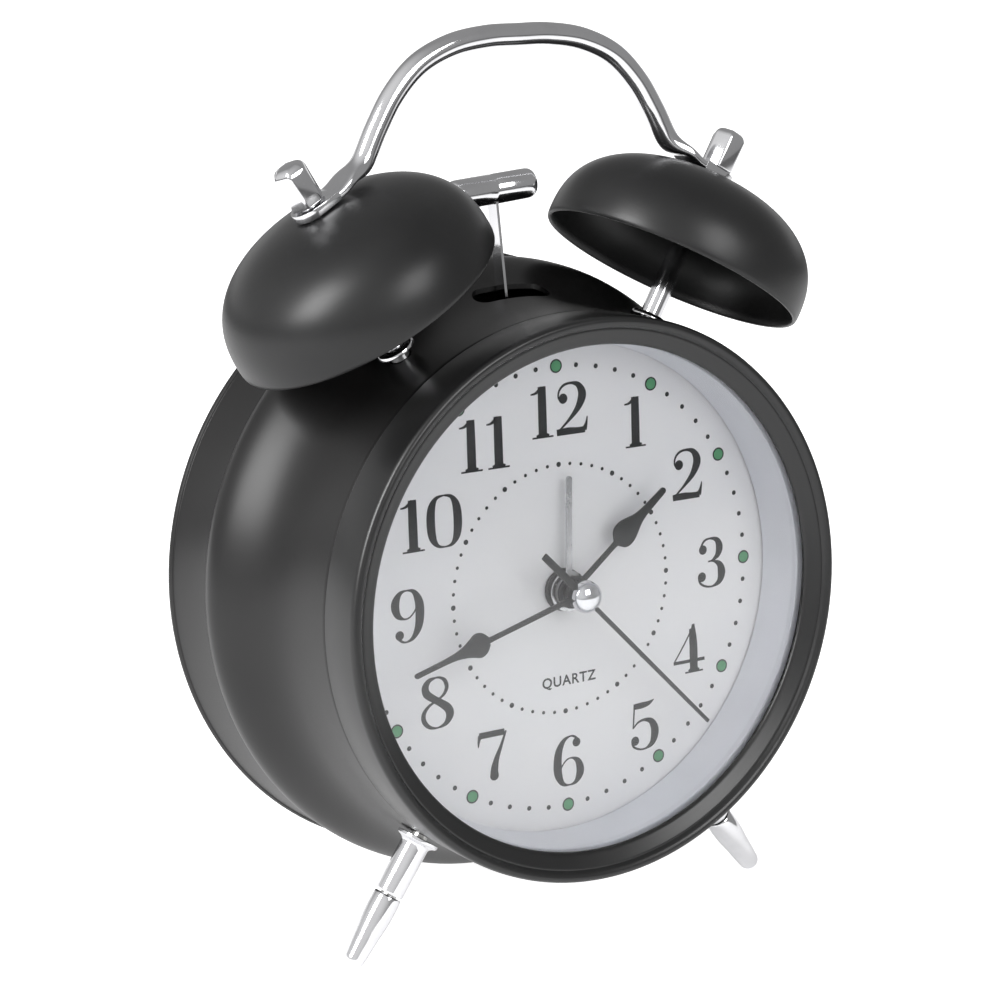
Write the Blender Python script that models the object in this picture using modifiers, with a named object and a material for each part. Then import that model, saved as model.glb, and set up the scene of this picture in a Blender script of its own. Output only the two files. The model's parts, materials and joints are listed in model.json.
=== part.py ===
# Twin-bell quartz alarm clock, modelled in metres, +Z up.
# Everything is laid out in the clock's own frame: origin on the case axis in the plane of the dial,
# +X to the right as the dial is read, +Y towards the back, +Z towards twelve o'clock.
# That frame then leans back until the clock stands on its two feet and the rim of its case.
import math

import bmesh
import bpy
from mathutils import Matrix, Vector

mm = 0.001

# clearances
seatGap = 0.3 * mm        # between pieces that seat on each other
runGap = 0.25 * mm        # between a turning piece and what it turns in
pressGap = 0.1 * mm       # between a hand and the pipe it is pressed on

# case: a drawn steel drum, waisted behind the bezel
sheet = 0.9 * mm
neckRadius = 48.6 * mm
shoulderFront = -4.7 * mm
waistStep = 1.3 * mm
waistRadius = neckRadius + waistStep
caseSwell = 7.2 * mm
swellPower = 2.2
crestRadius = waistRadius + caseSwell
bandStep = 2.1 * mm
bandRadius = crestRadius - bandStep
bandLength = 13.0 * mm
bandFlare = 1.9 * mm
bandRearRadius = bandRadius + bandFlare
crestRound = 3.2 * mm
flangeLip = 0.5 * mm
flangeRadius = bandRearRadius + flangeLip
flangeThick = 1.6 * mm
caseSteps = 40

# hands: each hub, and the hour, minute, second and alarm they show
handThick = 0.4 * mm
alarmHandLift = 2.2 * mm
hourHandLift = 1.1 * mm
minuteHandLift = 2.6 * mm
secondHandLift = 1.0 * mm
alarmHandDepth = -alarmHandLift
hourHandDepth = alarmHandDepth - hourHandLift
minuteHandDepth = hourHandDepth - minuteHandLift
secondHandDepth = minuteHandDepth - secondHandLift
hourAngle = 51.8
minuteAngle = 254.8
secondAngle = 136.2
alarmAngle = 1.9
capRadius = 2.9 * mm
capLift = 0.5 * mm
capHeight = 2.5 * mm
capRear = secondHandDepth - capLift
capFront = capRear - capHeight

# crystal and bezel, stacked in front of the hands
crystalClearance = 0.2 * mm
crystalThick = 1.6 * mm
crystalInset = 0.5 * mm
crystalRadius = neckRadius - sheet - crystalInset
crystalRear = capFront - crystalClearance
crystalFront = crystalRear - crystalThick
neckLap = 0.9 * mm
neckFront = crystalRear - neckLap
lipThick = 0.6 * mm
lipReach = 2.3 * mm
lipRadius = crystalRadius - lipReach
lipFront = crystalFront - seatGap - lipThick
bezelWall = 1.1 * mm
bezelRadius = neckRadius + seatGap + bezelWall
bezelProud = 2.4 * mm
bezelFront = lipFront - bezelProud

# dial and the pale wall around it
frameTuck = 0.7 * mm
frameRadius = neckRadius - sheet + frameTuck
dialInset = 1.6 * mm
dialRadius = frameRadius - dialInset
dialThick = 0.5 * mm
wallThick = 1.4 * mm
wallInset = 1.5 * mm
wallTaper = 0.6 * mm
wallRadiusFront = neckRadius - sheet - wallInset - wallThick
wallRadiusRear = wallRadiusFront - wallTaper
wallFlangeThick = 3.7 * mm
wallFlangeFront = -seatGap - wallFlangeThick

# movement and its wheels
movementSize = 56.0 * mm
movementFront = 4.2 * mm
movementThick = 13.8 * mm
movementRear = movementFront + movementThick
movementWall = 1.2 * mm
lidThick = 1.2 * mm
lidFront = movementRear + seatGap
lidRear = lidFront + lidThick
secondArborRadius = 0.5 * mm
pipeWall = 0.5 * mm
alarmPipeWall = 0.45 * mm
bushWall = 0.35 * mm
centreNutWall = 0.55 * mm
minutePipe = (secondArborRadius + runGap, secondArborRadius + runGap + pipeWall)
hourPipe = (minutePipe[1] + runGap, minutePipe[1] + runGap + pipeWall)
alarmPipe = (hourPipe[1] + runGap, hourPipe[1] + runGap + alarmPipeWall)
bushBore = alarmPipe[1] + runGap
bushRadius = bushBore + bushWall
centreNutRadius = bushRadius + centreNutWall
setShaftRadius = 1.5 * mm
setShaftX = 14.0 * mm
setShaftZ = 6.0 * mm
setRatio = 1.6
wheelThick = 0.8 * mm
knobRadius = 6.5 * mm
knobThick = 5.0 * mm
knobLobes = 18
boardSize = (42.0 * mm, 1.0 * mm, 16.0 * mm)

# battery pocket behind the movement, then its door and the rear cover
cellRadius = 7.1 * mm
cellLength = 49.2 * mm
cellPlay = 1.1 * mm
contactRoom = 7.8 * mm
pocketWall = 1.2 * mm
pocketClearance = 1.1 * mm
pocketLength = cellLength + contactRoom
pocketHeight = 2.0 * cellRadius + 1.2 * mm
pocketCentreZ = -28.0 * mm
pocketFloor = lidRear + pocketClearance + pocketWall
springWire = 0.35 * mm
springTurns = 3.5
doorRim = 1.6 * mm
doorThick = 1.4 * mm
doorFront = pocketFloor + 2.0 * cellRadius + cellPlay
coverThick = 2.0 * mm
coverRear = doorFront + doorThick
coverFront = coverRear - coverThick
coverGap = 0.4 * mm
coverInset = 2.7 * mm
caseRear = coverRear + coverInset
bandFront = caseRear - bandLength
bandRear = caseRear - flangeThick
coverRadius = bandRadius + bandFlare * (coverFront - bandFront) / (bandRear - bandFront) - sheet - coverGap
crestDepth = bandFront - crestRound

# chassis behind the dial, with pillars to the rear cover and to the striker plate
chassisFront = 0.8 * mm
chassisThick = 2.0 * mm
pillarRadius = 3.0 * mm
pillarEdge = 0.4 * mm
pillarCircle = frameRadius - pillarEdge - pillarRadius
pillarAngles = (90.0, 180.0, 270.0)
screwRadius = 1.1 * mm
screwHeadRim = 1.3 * mm
screwHeadRadius = screwRadius + screwHeadRim
screwHeadThick = 1.4 * mm

# bells on their posts
postAngle = 30.7
postDepth = 9.0 * mm
threadRadius = 1.5 * mm
postStep = 0.45 * mm
postRadius = threadRadius + postStep
bellLift = 4.8 * mm
bellMouth = crestRadius + bellLift
bellHeight = 18.4 * mm
bellRadius = 24.8 * mm
bellRimTuck = 0.15 * mm
bellRimRadius = bellRadius - bellRimTuck
bellRimRise = 1.7 * mm
bellPower = 2.4
bellWall = 0.8 * mm
bellSteps = 32
collarWall = 1.65 * mm
collarRadius = postRadius + collarWall
collarThick = 1.0 * mm
capNutWall = 1.5 * mm
capNutRadius = threadRadius + seatGap + capNutWall
capNutHeight = 7.6 * mm

# carrying handle
handleRadius = 2.0 * mm
tabThick = 1.5 * mm
handleRise = 16.7 * mm
handleTop = bellMouth + bellHeight + handleRise
tabWidth = 7.0 * mm
tabReach = 9.0 * mm

# feet
footAngle = 35.3
footDepth = 3.0 * mm
footRadius = 2.6 * mm
footSwell = 0.15 * mm
footBulge = footRadius + footSwell
footTaper = 0.7 * mm
footTipRadius = footRadius - footTaper
footSleeveLength = 11.1 * mm
footLength = 18.9 * mm
footReach = crestRadius + footLength
footFlangeLip = 1.3 * mm
footFlangeRadius = footRadius + footFlangeLip
footFlangeThick = 0.8 * mm
footPad = 0.15 * mm

# striker: a small motor turns a crank that swings the hammer lever
hammerDepth = 14.0 * mm
pivotClearance = 3.5 * mm
hammerPivotZ = 0.5 * movementSize + pivotClearance
bellTilt = math.radians(postAngle)
bellRimX = (bellMouth + bellRimRise) * math.sin(bellTilt) - bellRadius * math.cos(bellTilt)
bellRimZ = (bellMouth + bellRimRise) * math.cos(bellTilt) + bellRadius * math.sin(bellTilt)
hammerHeadRadius = 2.7 * mm
hammerHeadLift = 2.95 * mm
hammerHeadZ = bellRimZ + hammerHeadLift
hammerHeadGap = 2.65 * mm
hammerHeadLength = 2.0 * (bellRimX - hammerHeadGap)
hammerTravel = 3.55 * mm
headRise = hammerHeadZ - hammerPivotZ
hammerSwing = math.degrees(math.asin(hammerTravel / headRise))
hammerRestReach = 3.044 * mm
hammerRest = -math.degrees(math.asin(hammerRestReach / headRise))
hammerStripThick = 0.5 * mm
hammerStripWidth = 3.0 * mm
leverThick = 2.4 * mm
leverShift = -0.6 * mm
leverRear = hammerDepth + leverShift + 0.5 * leverThick
leverFront = leverRear - leverThick
crankRise = 9.5 * mm
crankZ = hammerPivotZ + crankRise
crankThrow = 1.4 * mm
crankPinRadius = 0.6 * mm
crankRoom = 1.8 * mm
slotHalfLength = 7.8 * mm
slotPlay = 0.75 * mm
slotWidth = hammerStripWidth + 2.0 * slotPlay
slotShift = -0.5 * mm
strikerPlateFront = leverRear + crankRoom
strikerPlateThick = 1.0 * mm
strikerScrewRise = 4.0 * mm
strikerScrewX = 17.0 * mm
strikerScrewZ = hammerPivotZ + strikerScrewRise
motorRadius = 7.0 * mm
motorLength = 16.0 * mm


def clearScene():
    for obj in list(bpy.data.objects):
        bpy.data.objects.remove(obj, do_unlink=True)


clearScene()
parts = bpy.data.collections.new("twin_bell_alarm_clock")
cutters = bpy.data.collections.new("cutters")
bpy.context.scene.collection.children.link(parts)
bpy.context.scene.collection.children.link(cutters)
clock = bpy.data.objects.new("clock_frame", None)
parts.objects.link(clock)


def surface(name, colour, roughness, metallic):
    material = bpy.data.materials.new(name)
    material.use_nodes = True
    shader = material.node_tree.nodes["Principled BSDF"]
    shader.inputs["Base Color"].default_value = (*colour, 1.0)
    shader.inputs["Roughness"].default_value = roughness
    shader.inputs["Metallic"].default_value = metallic
    material.diffuse_color = (*colour, 1.0)
    return material


blackPaint = surface("satin_black_paint", (0.03, 0.03, 0.032), 0.38, 0.0)
blackPlastic = surface("black_plastic", (0.025, 0.025, 0.027), 0.5, 0.0)
chrome = surface("chrome", (0.82, 0.82, 0.83), 0.08, 1.0)
steel = surface("zinc_steel", (0.6, 0.6, 0.6), 0.35, 1.0)
brass = surface("brass", (0.75, 0.58, 0.28), 0.3, 1.0)
glass = surface("crystal_glass", (0.95, 0.97, 0.98), 0.03, 0.0)
dialPaint = surface("dial_white", (0.78, 0.78, 0.79), 0.6, 0.0)
wallPaint = surface("wall_lavender", (0.62, 0.65, 0.78), 0.5, 0.0)
handBlack = surface("hand_black", (0.03, 0.03, 0.03), 0.45, 0.0)
handSilver = surface("hand_silver", (0.75, 0.75, 0.75), 0.25, 1.0)
whitePlastic = surface("white_plastic", (0.8, 0.8, 0.78), 0.5, 0.0)
boardGreen = surface("board_green", (0.05, 0.22, 0.1), 0.5, 0.0)
copperWire = surface("copper_wire", (0.7, 0.35, 0.18), 0.35, 1.0)
cellSleeve = surface("cell_sleeve", (0.1, 0.16, 0.3), 0.4, 0.0)


def link(name, mesh, matrix, material):
    obj = bpy.data.objects.new(name, mesh)
    obj.parent = clock
    obj.matrix_local = matrix
    if material is None:
        cutters.objects.link(obj)
        obj.hide_render = True
        obj.display_type = "WIRE"
    else:
        parts.objects.link(obj)
        mesh.materials.append(material)
    return obj


def at(x, y, z):
    return Matrix.Translation((x, y, z))


def turnAbout(axis, degrees):
    return Matrix.Rotation(math.radians(degrees), 4, axis)


# local Z of a faced piece points out of the dial, local Y towards twelve
faceOn = turnAbout("X", 90.0)


def spoke(degrees, depth):
    # local Z runs outwards from the case axis, degrees clockwise from twelve
    return at(0.0, depth, 0.0) @ turnAbout("Y", degrees)


def turned(name, outline, steps, matrix, material, closed=True):
    # the outline is (radius, height), down the outer side from the top
    points = [(radius, 0.0, height) for radius, height in outline]
    edges = [(i, i + 1) for i in range(len(points) - 1)]
    if closed:
        edges.append((len(points) - 1, 0))
    mesh = bpy.data.meshes.new(name)
    mesh.from_pydata(points, edges, [])
    obj = link(name, mesh, matrix, material)
    spin = obj.modifiers.new("spin", "SCREW")
    spin.angle = 2.0 * math.pi
    spin.steps = steps
    spin.render_steps = steps
    spin.use_merge_vertices = True
    spin.merge_threshold = 0.00001
    spin.use_smooth_shade = True
    return obj


def fromFront(outline):
    # case pieces are written as (radius, depth) from the front; a faced piece has its height forwards
    return [(radius, -depth) for radius, depth in outline]


def tube(outer, inner, top, bottom):
    return [(outer, top), (outer, bottom), (inner, bottom), (inner, top)]


def rod(radius, top, bottom):
    return [(0.0, top), (radius, top), (radius, bottom), (0.0, bottom)]


def drum(name, radius, top, bottom, matrix, sides=16):
    # a plain cylinder along local Z, used to cut holes
    mesh = bpy.data.meshes.new(name)
    bm = bmesh.new()
    bmesh.ops.create_cone(bm, cap_ends=True, segments=sides, radius1=radius, radius2=radius, depth=top - bottom)
    bmesh.ops.translate(bm, verts=bm.verts, vec=(0.0, 0.0, 0.5 * (top + bottom)))
    bm.to_mesh(mesh)
    bm.free()
    return link(name, mesh, matrix, None)


def box(name, size, matrix, material, round=0.0, segments=2):
    mesh = bpy.data.meshes.new(name)
    bm = bmesh.new()
    bmesh.ops.create_cube(bm, size=1.0)
    bmesh.ops.scale(bm, vec=size, verts=bm.verts)
    bm.to_mesh(mesh)
    bm.free()
    obj = link(name, mesh, matrix, material)
    if round > 0.0:
        bevel = obj.modifiers.new("round", "BEVEL")
        bevel.width = round
        bevel.segments = segments
        bevel.limit_method = "ANGLE"
    return obj


def combine(obj, other, operation):
    modifier = obj.modifiers.new(other.name, "BOOLEAN")
    modifier.operation = operation
    modifier.solver = "EXACT"
    modifier.object = other
    return obj


def cut(obj, *others):
    for other in others:
        combine(obj, other, "DIFFERENCE")
    return obj


def join(obj, *others):
    for other in others:
        combine(obj, other, "UNION")
    return obj


def meshFromCurve(obj, material):
    bpy.context.view_layer.update()
    graph = bpy.context.evaluated_depsgraph_get()
    mesh = bpy.data.meshes.new_from_object(obj.evaluated_get(graph))
    bm = bmesh.new()
    bm.from_mesh(mesh)
    bmesh.ops.remove_doubles(bm, verts=bm.verts, dist=0.000005)
    bmesh.ops.recalc_face_normals(bm, faces=bm.faces)
    bm.to_mesh(mesh)
    bm.free()
    mesh.materials.clear()
    name = obj.name
    matrix = obj.matrix_local.copy()
    bpy.data.objects.remove(obj, do_unlink=True)
    return link(name, mesh, matrix, material)


def addOutline(curve, outline):
    spline = curve.splines.new("POLY")
    spline.points.add(len(outline) - 1)
    for point, (x, y) in zip(spline.points, outline):
        point.co = (x, y, 0.0, 1.0)
    spline.use_cyclic_u = True


def plate(name, outlines, thick, matrix, material):
    # a flat piece: the first outline is its edge, the others are holes
    curve = bpy.data.curves.new(name, "CURVE")
    curve.dimensions = "2D"
    curve.fill_mode = "BOTH"
    curve.extrude = 0.5 * thick
    for outline in outlines:
        addOutline(curve, outline)
    obj = bpy.data.objects.new(name, curve)
    parts.objects.link(obj)
    obj.parent = clock
    obj.matrix_local = matrix
    return meshFromCurve(obj, material)


def circle(radius, sides, x=0.0, y=0.0):
    return [(x + radius * math.cos(2.0 * math.pi * i / sides), y + radius * math.sin(2.0 * math.pi * i / sides))
            for i in range(sides)]


def rectangle(width, height, x=0.0, y=0.0):
    return [(x - width / 2, y - height / 2), (x + width / 2, y - height / 2),
            (x + width / 2, y + height / 2), (x - width / 2, y + height / 2)]


def shadeSmooth(obj, degrees=35.0):
    obj.data.shade_smooth()
    obj.data.set_sharp_from_angle(angle=math.radians(degrees))
    return obj


# the case

def caseRadius(depth):
    # the drum swells slowly behind the bezel, then rounds over at its crest
    share = min(max((depth - shoulderFront) / (crestDepth - shoulderFront), 0.0), 1.0)
    return waistRadius + (crestRadius - waistRadius) * (1.0 - math.cos(math.pi * share ** swellPower)) / 2.0


def caseOutline():
    swell = [shoulderFront + (crestDepth - shoulderFront) * i / 8.0 for i in range(9)]
    outer = [(neckRadius, neckFront), (neckRadius, shoulderFront - 0.3 * mm)]
    outer += [(caseRadius(depth), depth) for depth in swell]
    drop = crestRadius - bandRadius
    run = bandFront - crestDepth
    for i in range(1, 4):
        angle = 0.5 * math.pi * i / 4.0
        outer.append((bandRadius + drop * math.cos(angle), crestDepth + run * math.sin(angle)))
    outer += [(bandRadius, bandFront), (bandRearRadius, bandRear), (flangeRadius - 0.1 * mm, bandRear + 0.15 * mm),
              (flangeRadius, bandRear + 0.4 * mm), (flangeRadius, caseRear - 0.3 * mm),
              (flangeRadius - 0.4 * mm, caseRear), (flangeRadius - 1.0 * mm, caseRear)]
    inner = [(bandRearRadius - sheet, caseRear - 0.4 * mm), (bandRearRadius - sheet, bandRear),
             (bandRadius - sheet, bandFront + 0.4 * mm)]
    for i in (2, 1):
        angle = 0.5 * math.pi * i / 3.0
        inner.append((bandRadius - sheet + drop * math.cos(angle), crestDepth + run * math.sin(angle)))
    inner += [(caseRadius(depth) - sheet, depth) for depth in reversed(swell[1::2])]
    step = shoulderFront + 0.6 * mm
    inner += [(waistRadius - sheet, step), (neckRadius - sheet, step - 0.3 * mm), (neckRadius - sheet, neckFront)]
    return outer + inner


body = turned("case_body", fromFront(caseOutline()), caseSteps, faceOn, blackPaint)

bezelOutline = [
    (lipRadius, lipFront), (lipRadius + 0.4 * mm, lipFront - 0.35 * mm),
    (bezelRadius - 2.1 * mm, bezelFront + 0.85 * mm), (bezelRadius - 1.85 * mm, bezelFront + 0.9 * mm),
    (bezelRadius - 1.55 * mm, bezelFront + 0.3 * mm), (bezelRadius - 0.8 * mm, bezelFront),
    (bezelRadius - 0.25 * mm, bezelFront + 0.25 * mm), (bezelRadius, bezelFront + 0.8 * mm),
    (bezelRadius, shoulderFront - 1.4 * mm), (bezelRadius - 0.2 * mm, shoulderFront - 0.9 * mm),
    (bezelRadius - 0.6 * mm, shoulderFront - 0.7 * mm), (neckRadius + seatGap, shoulderFront - 0.7 * mm),
    (neckRadius + seatGap, neckFront - seatGap), (crystalRadius + seatGap, neckFront - seatGap),
    (crystalRadius + seatGap, lipFront + lipThick), (lipRadius, lipFront + lipThick)]
turned("front_bezel", fromFront(bezelOutline), caseSteps, faceOn, blackPaint)

turned("crystal", fromFront(rod(crystalRadius, crystalFront, crystalRear)), caseSteps, faceOn, glass, closed=False)

wallFront = crystalRear + seatGap
wallOutline = [
    (wallRadiusFront, wallFront), (wallRadiusFront + wallThick, wallFront),
    (wallRadiusFront + wallThick, wallFlangeFront), (frameRadius, wallFlangeFront),
    (frameRadius, -seatGap), (wallRadiusRear, -seatGap)]
turned("dial_wall_ring", fromFront(wallOutline), caseSteps, faceOn, wallPaint)

dialHole = bushRadius + seatGap
turned("dial_plate", fromFront(tube(dialRadius, dialHole, 0.0, dialThick)), caseSteps, faceOn, dialPaint)

# the chassis

chassisRear = chassisFront + chassisThick
chassis = turned("chassis_plate", fromFront(tube(frameRadius, dialHole, chassisFront, chassisRear)), caseSteps, faceOn,
                 whitePlastic)
pillarPlaces = [spoke(degrees, 0.0) @ at(0.0, 0.0, pillarCircle) @ faceOn for degrees in pillarAngles]
strikerPlaces = [at(side * strikerScrewX, 0.0, strikerScrewZ) @ faceOn for side in (-1.0, 1.0)]


def pillar(name, matrix, rear):
    # a round pillar with a blind screw hole in its rear end
    bore = screwRadius + seatGap
    deep = rear - 9.0 * mm
    return turned(name, fromFront([(0.0, chassisRear - 0.6 * mm), (pillarRadius, chassisRear - 0.6 * mm),
                                   (pillarRadius, rear), (bore, rear), (bore, deep), (0.0, deep)]),
                  12, matrix, None, closed=False)


for index, matrix in enumerate(pillarPlaces):
    join(chassis, pillar("cover_pillar_%d" % index, matrix, coverFront - seatGap))
for index, matrix in enumerate(strikerPlaces):
    join(chassis, pillar("striker_pillar_%d" % index, matrix, strikerPlateFront - seatGap))

# the movement

movementMid = 0.5 * (movementFront + movementRear)
movement = box("movement_case", (movementSize, movementRear - movementFront, movementSize),
               at(0.0, movementMid, 0.0), blackPlastic, 2.0 * mm)
bush = turned("bush_blank", fromFront(rod(bushRadius, -1.6 * mm, movementFront + 1.0 * mm)), 24, faceOn, None,
              closed=False)
join(movement, bush)
hollow = box("movement_hollow", (movementSize - 2 * movementWall, movementRear - movementFront, movementSize -
             2 * movementWall), at(0.0, movementMid + movementWall, 0.0), None)
cut(movement, hollow, drum("bush_bore", bushBore, 3.0 * mm, -(movementFront + 2 * movementWall), faceOn, 24))

setPlaces = {"time": at(setShaftX, 0.0, setShaftZ) @ faceOn, "alarm": at(-setShaftX, 0.0, setShaftZ) @ faceOn}
lid = box("movement_lid", (movementSize, lidThick, movementSize), at(0.0, 0.5 * (lidFront + lidRear), 0.0),
          blackPlastic, 0.3 * mm, 1)
for key, matrix in setPlaces.items():
    cut(lid, drum("lid_hole_" + key, setShaftRadius + runGap, -(lidFront - 1.0 * mm), -(lidRear + 1.0 * mm), matrix))

nutBore = bushRadius + pressGap
turned("centre_nut", fromFront([(centreNutRadius - 0.2 * mm, -1.3 * mm), (centreNutRadius, -1.1 * mm),
                                (centreNutRadius, -seatGap), (nutBore, -seatGap), (nutBore, -1.3 * mm)]),
       24, faceOn, blackPlastic)

# each pipe carries a wheel inside the movement and a hand in front of the dial
pinionDistance = math.hypot(setShaftX, setShaftZ)
wheelPitch = pinionDistance * setRatio / (1.0 + setRatio)
pinionPitch = pinionDistance - wheelPitch
toothGap = 0.2 * mm
alarmWheelFront = 6.1 * mm
hourWheelFront = 7.5 * mm
minuteWheelFront = 9.6 * mm
secondWheelFront = 11.8 * mm


def arborOutline(outer, inner, front, wheelRadius, wheelFront):
    rear = wheelFront + wheelThick
    return fromFront([(outer, front), (outer, wheelFront), (wheelRadius, wheelFront), (wheelRadius, rear),
                      (inner, rear), (inner, front)])


turned("alarm_pipe", arborOutline(alarmPipe[1], alarmPipe[0], alarmHandDepth - 0.5 * mm, wheelPitch - toothGap,
                                  alarmWheelFront), 24, faceOn, brass)
turned("hour_pipe", arborOutline(hourPipe[1], hourPipe[0], hourHandDepth - 0.6 * mm, 9.0 * mm,
                                 hourWheelFront), 24, faceOn, brass)
turned("minute_pipe", arborOutline(minutePipe[1], minutePipe[0], minuteHandDepth - 0.4 * mm, wheelPitch - toothGap,
                                   minuteWheelFront), 24, faceOn, brass)
secondRear = secondWheelFront + wheelThick
turned("second_arbor", fromFront([(0.0, secondHandDepth - 1.4 * mm), (secondArborRadius, secondHandDepth - 1.4 * mm),
                                  (secondArborRadius, secondWheelFront), (7.0 * mm, secondWheelFront),
                                  (7.0 * mm, secondRear), (0.0, secondRear)]), 24, faceOn, steel, closed=False)


def setShaft(name, wheelFront, matrix):
    front = wheelFront - 0.5 * mm
    rear = wheelFront + wheelThick
    end = coverRear + knobThick - 0.8 * mm
    radius = pinionPitch - toothGap
    outline = fromFront([(0.0, front), (setShaftRadius, front), (setShaftRadius, wheelFront), (radius, wheelFront),
                         (radius, rear), (setShaftRadius, rear), (setShaftRadius, end), (0.0, end)])
    turned(name, outline, 16, matrix, whitePlastic, closed=False)


def knobOutline():
    count = knobLobes * 2
    points = []
    for i in range(count):
        angle = 2.0 * math.pi * i / count
        radius = knobRadius - 0.35 * mm * (i % 2)
        points.append((radius * math.cos(angle), radius * math.sin(angle)))
    return points


def setKnob(name, matrix):
    front = coverRear + seatGap
    knob = plate(name, [knobOutline()], knobThick, matrix @ at(0.0, 0.0, -(front + 0.5 * knobThick)), blackPlastic)
    cut(knob, drum(name + "_bore", setShaftRadius + pressGap, -(front - 1.0 * mm), -(front + knobThick - 0.8 * mm),
                   matrix))


setShaft("time_set_shaft", minuteWheelFront, setPlaces["time"])
setShaft("alarm_set_shaft", alarmWheelFront, setPlaces["alarm"])
setKnob("time_set_knob", setPlaces["time"])
setKnob("alarm_set_knob", setPlaces["alarm"])

boardEdge = 0.8 * mm
boardZ = -0.5 * movementSize + movementWall + boardEdge + 0.5 * boardSize[2]
boardRear = movementRear - 1.1 * mm
box("circuit_board", boardSize, at(0.0, boardRear - 0.5 * boardSize[1], boardZ), boardGreen)
coilRadius = 3.4 * mm
coilAcross = at(0.0, boardRear - boardSize[1] - 0.3 * mm - coilRadius, boardZ) @ turnAbout("Y", 90.0)
turned("drive_coil", [(0.0, 10.0 * mm), (coilRadius, 10.0 * mm), (coilRadius, 9.0 * mm), (2.7 * mm, 9.0 * mm),
                      (2.7 * mm, -9.0 * mm), (coilRadius, -9.0 * mm), (coilRadius, -10.0 * mm), (0.0, -10.0 * mm)],
       16, coilAcross, copperWire, closed=False)

# the hands


def handOutline(stations, hubRadius):
    # stations are (distance from the axis, half width), from the hub to the tip
    right = []
    for (start, wide), (end, narrow) in zip(stations, stations[1:]):
        for i in range(2):
            share = i / 2.0
            blend = share * share * (3.0 - 2.0 * share)
            right.append((wide + (narrow - wide) * blend, start + (end - start) * share))
    tip, half = stations[-1]
    for i in range(5):
        angle = math.radians(90.0 * i / 5.0)
        right.append((half * math.cos(angle), tip + half * math.sin(angle)))
    stem = math.asin(stations[0][1] / hubRadius)
    hub = [(hubRadius * math.sin(angle), hubRadius * math.cos(angle))
           for angle in [math.pi - (math.pi - stem) * i / 10.0 for i in range(1, 11)]]
    half = hub + [point for point in right if point[1] > hubRadius]
    left = [(-x, y) for x, y in reversed(half)]
    return [(0.0, -hubRadius)] + half + [(0.0, tip + stations[-1][1])] + left


def hand(name, outline, hole, depth, degrees, material):
    matrix = spoke(degrees, depth) @ faceOn
    return plate(name, [outline, circle(hole, 16)], handThick, matrix, material)


hourStations = [(2.5 * mm, 0.55 * mm), (12.0 * mm, 0.55 * mm), (12.7 * mm, 1.6 * mm), (14.4 * mm, 2.42 * mm),
                (16.9 * mm, 1.75 * mm), (20.6 * mm, 0.72 * mm), (25.3 * mm, 0.6 * mm)]
minuteStations = [(2.5 * mm, 0.55 * mm), (19.4 * mm, 0.55 * mm), (20.1 * mm, 1.55 * mm), (22.0 * mm, 2.22 * mm),
                  (24.2 * mm, 1.35 * mm), (27.3 * mm, 0.56 * mm), (34.8 * mm, 0.46 * mm)]
alarmStations = [(3.5 * mm, 0.55 * mm), (12.0 * mm, 0.55 * mm), (20.2 * mm, 0.55 * mm)]
hubWall = 0.9 * mm
minuteHubWall = 1.15 * mm
hand("hour_hand", handOutline(hourStations, hourPipe[1] + pressGap + hubWall), hourPipe[1] + pressGap, hourHandDepth, hourAngle, handBlack)
hand("minute_hand", handOutline(minuteStations, minutePipe[1] + pressGap + minuteHubWall),
     minutePipe[1] + pressGap, minuteHandDepth, minuteAngle, handBlack)
hand("alarm_hand", handOutline(alarmStations, alarmPipe[1] + pressGap + hubWall), alarmPipe[1] + pressGap, alarmHandDepth, alarmAngle,
     handSilver)
secondOutline = [(-0.65 * mm, -11.5 * mm), (0.65 * mm, -11.5 * mm), (0.72 * mm, -2.0 * mm), (0.42 * mm, 2.0 * mm),
                 (0.34 * mm, 38.2 * mm), (-0.34 * mm, 38.2 * mm), (-0.42 * mm, 2.0 * mm), (-0.72 * mm, -2.0 * mm)]
secondHand = hand("second_hand", secondOutline, secondArborRadius * 0.5, secondHandDepth, secondAngle, handBlack)
secondMatrix = spoke(secondAngle, secondHandDepth) @ faceOn
join(secondHand, turned("second_hub", rod(2.0 * mm, 0.5 * handThick, -0.5 * handThick), 16, secondMatrix, None,
                        closed=False))
cut(secondHand, drum("second_hub_bore", secondArborRadius + pressGap, 1.0 * mm, -1.0 * mm, secondMatrix, 16))


def capOutline():
    rise = capRear - capFront - 0.5 * mm
    dome = [(capRadius * math.sin(math.radians(angle)), capRear - 0.5 * mm - rise * math.cos(math.radians(angle)))
            for angle in range(0, 91, 18)]
    bore = secondArborRadius + pressGap
    return fromFront(dome + [(capRadius, capRear), (bore, capRear), (bore, capRear - 1.3 * mm),
                             (0.0, capRear - 1.3 * mm)])


turned("hand_cap", capOutline(), 20, faceOn, chrome, closed=False)

# bells, posts and nuts


def bellCurve(height):
    if height <= bellRimRise:
        share = (bellRimRise - height) / bellRimRise
        return bellRadius - (bellRadius - bellRimRadius) * share * share
    share = min((height - bellRimRise) / (bellHeight - bellRimRise), 1.0)
    return bellRadius * (1.0 - share ** bellPower) ** (1.0 / bellPower)


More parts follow.
